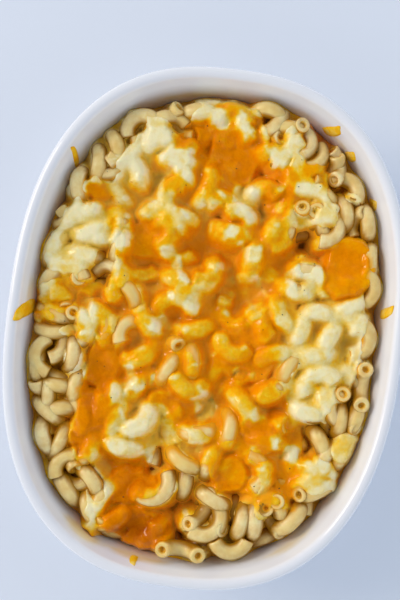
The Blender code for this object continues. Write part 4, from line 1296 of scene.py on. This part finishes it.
def melted_cheese():
    # Melted cheddar with a white melting cheese: oily, thick and soft-edged. It is deep orange where it
    # pools, yellow to pale where it is thin over a tube, and painted brown as shade where it lies deep
    # between them.
    material, tree, shader, coords = new_material("melted cheddar and white cheese")
    white, thickness, depth, relief = (
        add(tree, "ShaderNodeAttribute", out="Fac", attribute_name=name)
        for name in ("white", "thickness", "depth", "relief")
    )
    blotch = add(tree, "ShaderNodeTexNoise", {"Vector": coords, "Scale": 1 / (8 * MM), "Detail": 1.0})
    streak = add(tree, "ShaderNodeTexNoise", {
        "Vector": coords, "Scale": 1 / (2.6 * MM), "Detail": 1.0, "Distortion": 0.6,
    })
    kind = add(tree, "ShaderNodeMath", {0: white, 1: 0.42, 2: 0.245}, operation="MULTIPLY_ADD")
    for source, weight in ((blotch, 0.34), (streak, 0.2), (relief, 0.07), (thickness, -0.01)):
        kind = add(tree, "ShaderNodeMath", {0: source, 1: weight, 2: kind}, operation="MULTIPLY_ADD")
    body = add(tree, "ShaderNodeValToRGB", {0: kind}, stops=(
        (0.0, "#B85A00"), (1.0, "#FBEEBC"), (0.22, "#D87800"), (0.42, "#F08E00"), (0.54, "#F69C00"),
        (0.63, "#F8AE06"), (0.71, "#F8C21E"), (0.8, "#F5D266"), (0.9, "#F8E298"),
    ))
    dip = add(tree, "ShaderNodeMix", {0: white, 6: colour("#FCA004"), 7: colour("#F2CE54")}, **MIX_COLOURS)
    share = add(tree, "ShaderNodeMapRange", {"Value": depth, "From Min": 0.8, "From Max": 3.8, "To Max": 0.8})
    golden = add(tree, "ShaderNodeMix", {0: share, 6: body, 7: dip}, **MIX_COLOURS)
    # Deep dips get a painted brown shade. A dip in the white cheese lets more light through, so its painted
    # shade starts deeper and it stays paler.
    shade = add(tree, "ShaderNodeMath", {0: white, 1: -3.0, 2: depth}, operation="MULTIPLY_ADD")
    share = add(tree, "ShaderNodeMapRange", {"Value": shade, "From Min": 5.4, "From Max": 8.8})
    dark = add(tree, "ShaderNodeMix", {0: share, 6: golden, 7: colour("#642600")}, **MIX_COLOURS)
    oil = add(tree, "ShaderNodeTexNoise", {"Vector": coords, "Scale": 1 / (6 * MM), "Detail": 1.0})
    oily = add(tree, "ShaderNodeMapRange", {
        "Value": oil, "From Min": 0.46, "From Max": 0.62, "To Min": 0.15, "To Max": 0.9,
    })
    fine = add(tree, "ShaderNodeTexNoise", {"Vector": coords, "Scale": 1 / (1.4 * MM)})
    slow = add(tree, "ShaderNodeBump", {"Height": blotch, "Distance": 0.4 * MM})
    feed(tree, shader, {
        "Base Color": dark, "Roughness": 0.32, "IOR": 1.45, "Specular IOR Level": 0.35, "Specular Tint": dark,
        "Coat Weight": oily, "Coat Roughness": 0.07, "Subsurface Weight": 0.15, "Subsurface Scale": 0.0008,
        "Subsurface Radius": (1.0, 0.6, 0.12),
        "Normal": add(tree, "ShaderNodeBump", {"Height": fine, "Distance": 0.3 * MM, "Normal": slow}),
    })
    return material


def ground_pepper():
    # Ground black pepper: dull dark brown bits.
    material, tree, shader, coords = new_material("ground pepper")
    grain = add(tree, "ShaderNodeTexNoise", {"Vector": coords, "Scale": 1 / (0.4 * MM)})
    speckle = add(tree, "ShaderNodeMix", {
        0: grain, 6: colour("#2A1C12"), 7: colour("#57412C"),
    }, **MIX_COLOURS)
    feed(tree, shader, {"Base Color": speckle, "Roughness": 0.8})
    return material


def pale_table():
    # A painted table top: pale, flat and slightly uneven in tone.
    material, tree, shader, coords = new_material("pale painted table")
    cloud = add(tree, "ShaderNodeTexNoise", {"Vector": coords, "Scale": 1 / (180 * MM)})
    tone = add(tree, "ShaderNodeMix", {0: cloud, 6: colour("#E6ECF6"), 7: colour("#DFE7F3")}, **MIX_COLOURS)
    feed(tree, shader, {"Base Color": tone, "Roughness": 0.6})
    return material


# Light, camera and table.

def make_studio():
    scene = bpy.context.scene
    scene.view_settings.view_transform = "Standard"
    scene.view_settings.look = "None"
    world = bpy.data.worlds.new("soft sky")
    world.use_nodes = True
    tree = world.node_tree
    # It is dimmer straight above, where a ceiling would be, so that wet things shine at their sides only.
    way = add(tree, "ShaderNodeTexCoord", out="Generated")
    height = add(tree, "ShaderNodeSeparateXYZ", {"Vector": way}, out="Z")
    strength = add(tree, "ShaderNodeMapRange", {
        "Value": height, "From Min": 0.6, "From Max": 0.9, "To Min": SKY_AT_SIDES, "To Max": SKY_ABOVE,
    })
    # Reflections see less of it, as through a polarising filter, so that colours stay deep.
    glossy = add(tree, "ShaderNodeLightPath", out="Is Glossy Ray")
    seen = add(tree, "ShaderNodeMath", {0: glossy, 1: -0.85, 2: 1.0}, operation="MULTIPLY_ADD")
    strength = add(tree, "ShaderNodeMath", {0: strength, 1: seen}, operation="MULTIPLY")
    feed(tree, tree.nodes["Background"], {"Color": colour(SKY_COLOUR), "Strength": strength})
    scene.world = world
    window = bpy.data.lights.new("window", "AREA")
    window.shape = "RECTANGLE"
    window.size, window.size_y = WINDOW_SIZE
    window.energy = WINDOW_POWER
    window.color = colour(WINDOW_COLOUR)[:3]
    lamp = bpy.data.objects.new("window", window)
    lamp.location = WINDOW_PLACE
    lamp.rotation_euler = (Vector(WINDOW_AIM) - lamp.location).to_track_quat("-Z", "Y").to_euler()
    scene.collection.objects.link(lamp)
    corners = [(x * TABLE_REACH, y * TABLE_REACH, 0) for x, y in ((-1, -1), (1, -1), (1, 1), (-1, 1))]
    table = mesh_from("table", corners, [(0, 1, 2, 3)])
    put_in_scene("table", table, pale_table())


def make_camera():
    data = bpy.data.cameras.new("camera")
    data.lens = CAMERA_LENS
    data.sensor_width = CAMERA_SENSOR
    camera = bpy.data.objects.new("camera", data)
    place = Vector(CAMERA_PLACE) * MM
    forward = (Vector(CAMERA_AIM) * MM - place).normalized()
    roll = math.radians(CAMERA_ROLL)
    across = forward.cross(Vector((-math.sin(roll), math.cos(roll), 0))).normalized()
    upward = across.cross(forward)
    turn = Matrix((across, upward, -forward)).transposed().to_4x4()
    camera.matrix_world = Matrix.Translation(place) @ turn
    bpy.context.scene.collection.objects.link(camera)
    bpy.context.scene.camera = camera


def main():
    make_camera()
    make_studio()
    pasta = cooked_pasta()
    cheese = melted_cheese()
    heap = Heap()
    heap.pour()
    sheet = Sheet(heap)
    dish = make_dish(glazed_stoneware())
    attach(dish, "root")
    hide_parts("dish")
    for piece in make_macaroni(heap, sheet, pasta):
        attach(piece, "root")
        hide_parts("macaroni")
    body = make_cheese(sheet, cheese)
    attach(body, "root")
    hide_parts("macaroni", *CHEESE_NODES)
    shreds = make_wall_shreds(cheese)
    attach(shreds, "root")
    pepper = make_pepper(sheet, ground_pepper())
    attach(pepper, "root")


main()
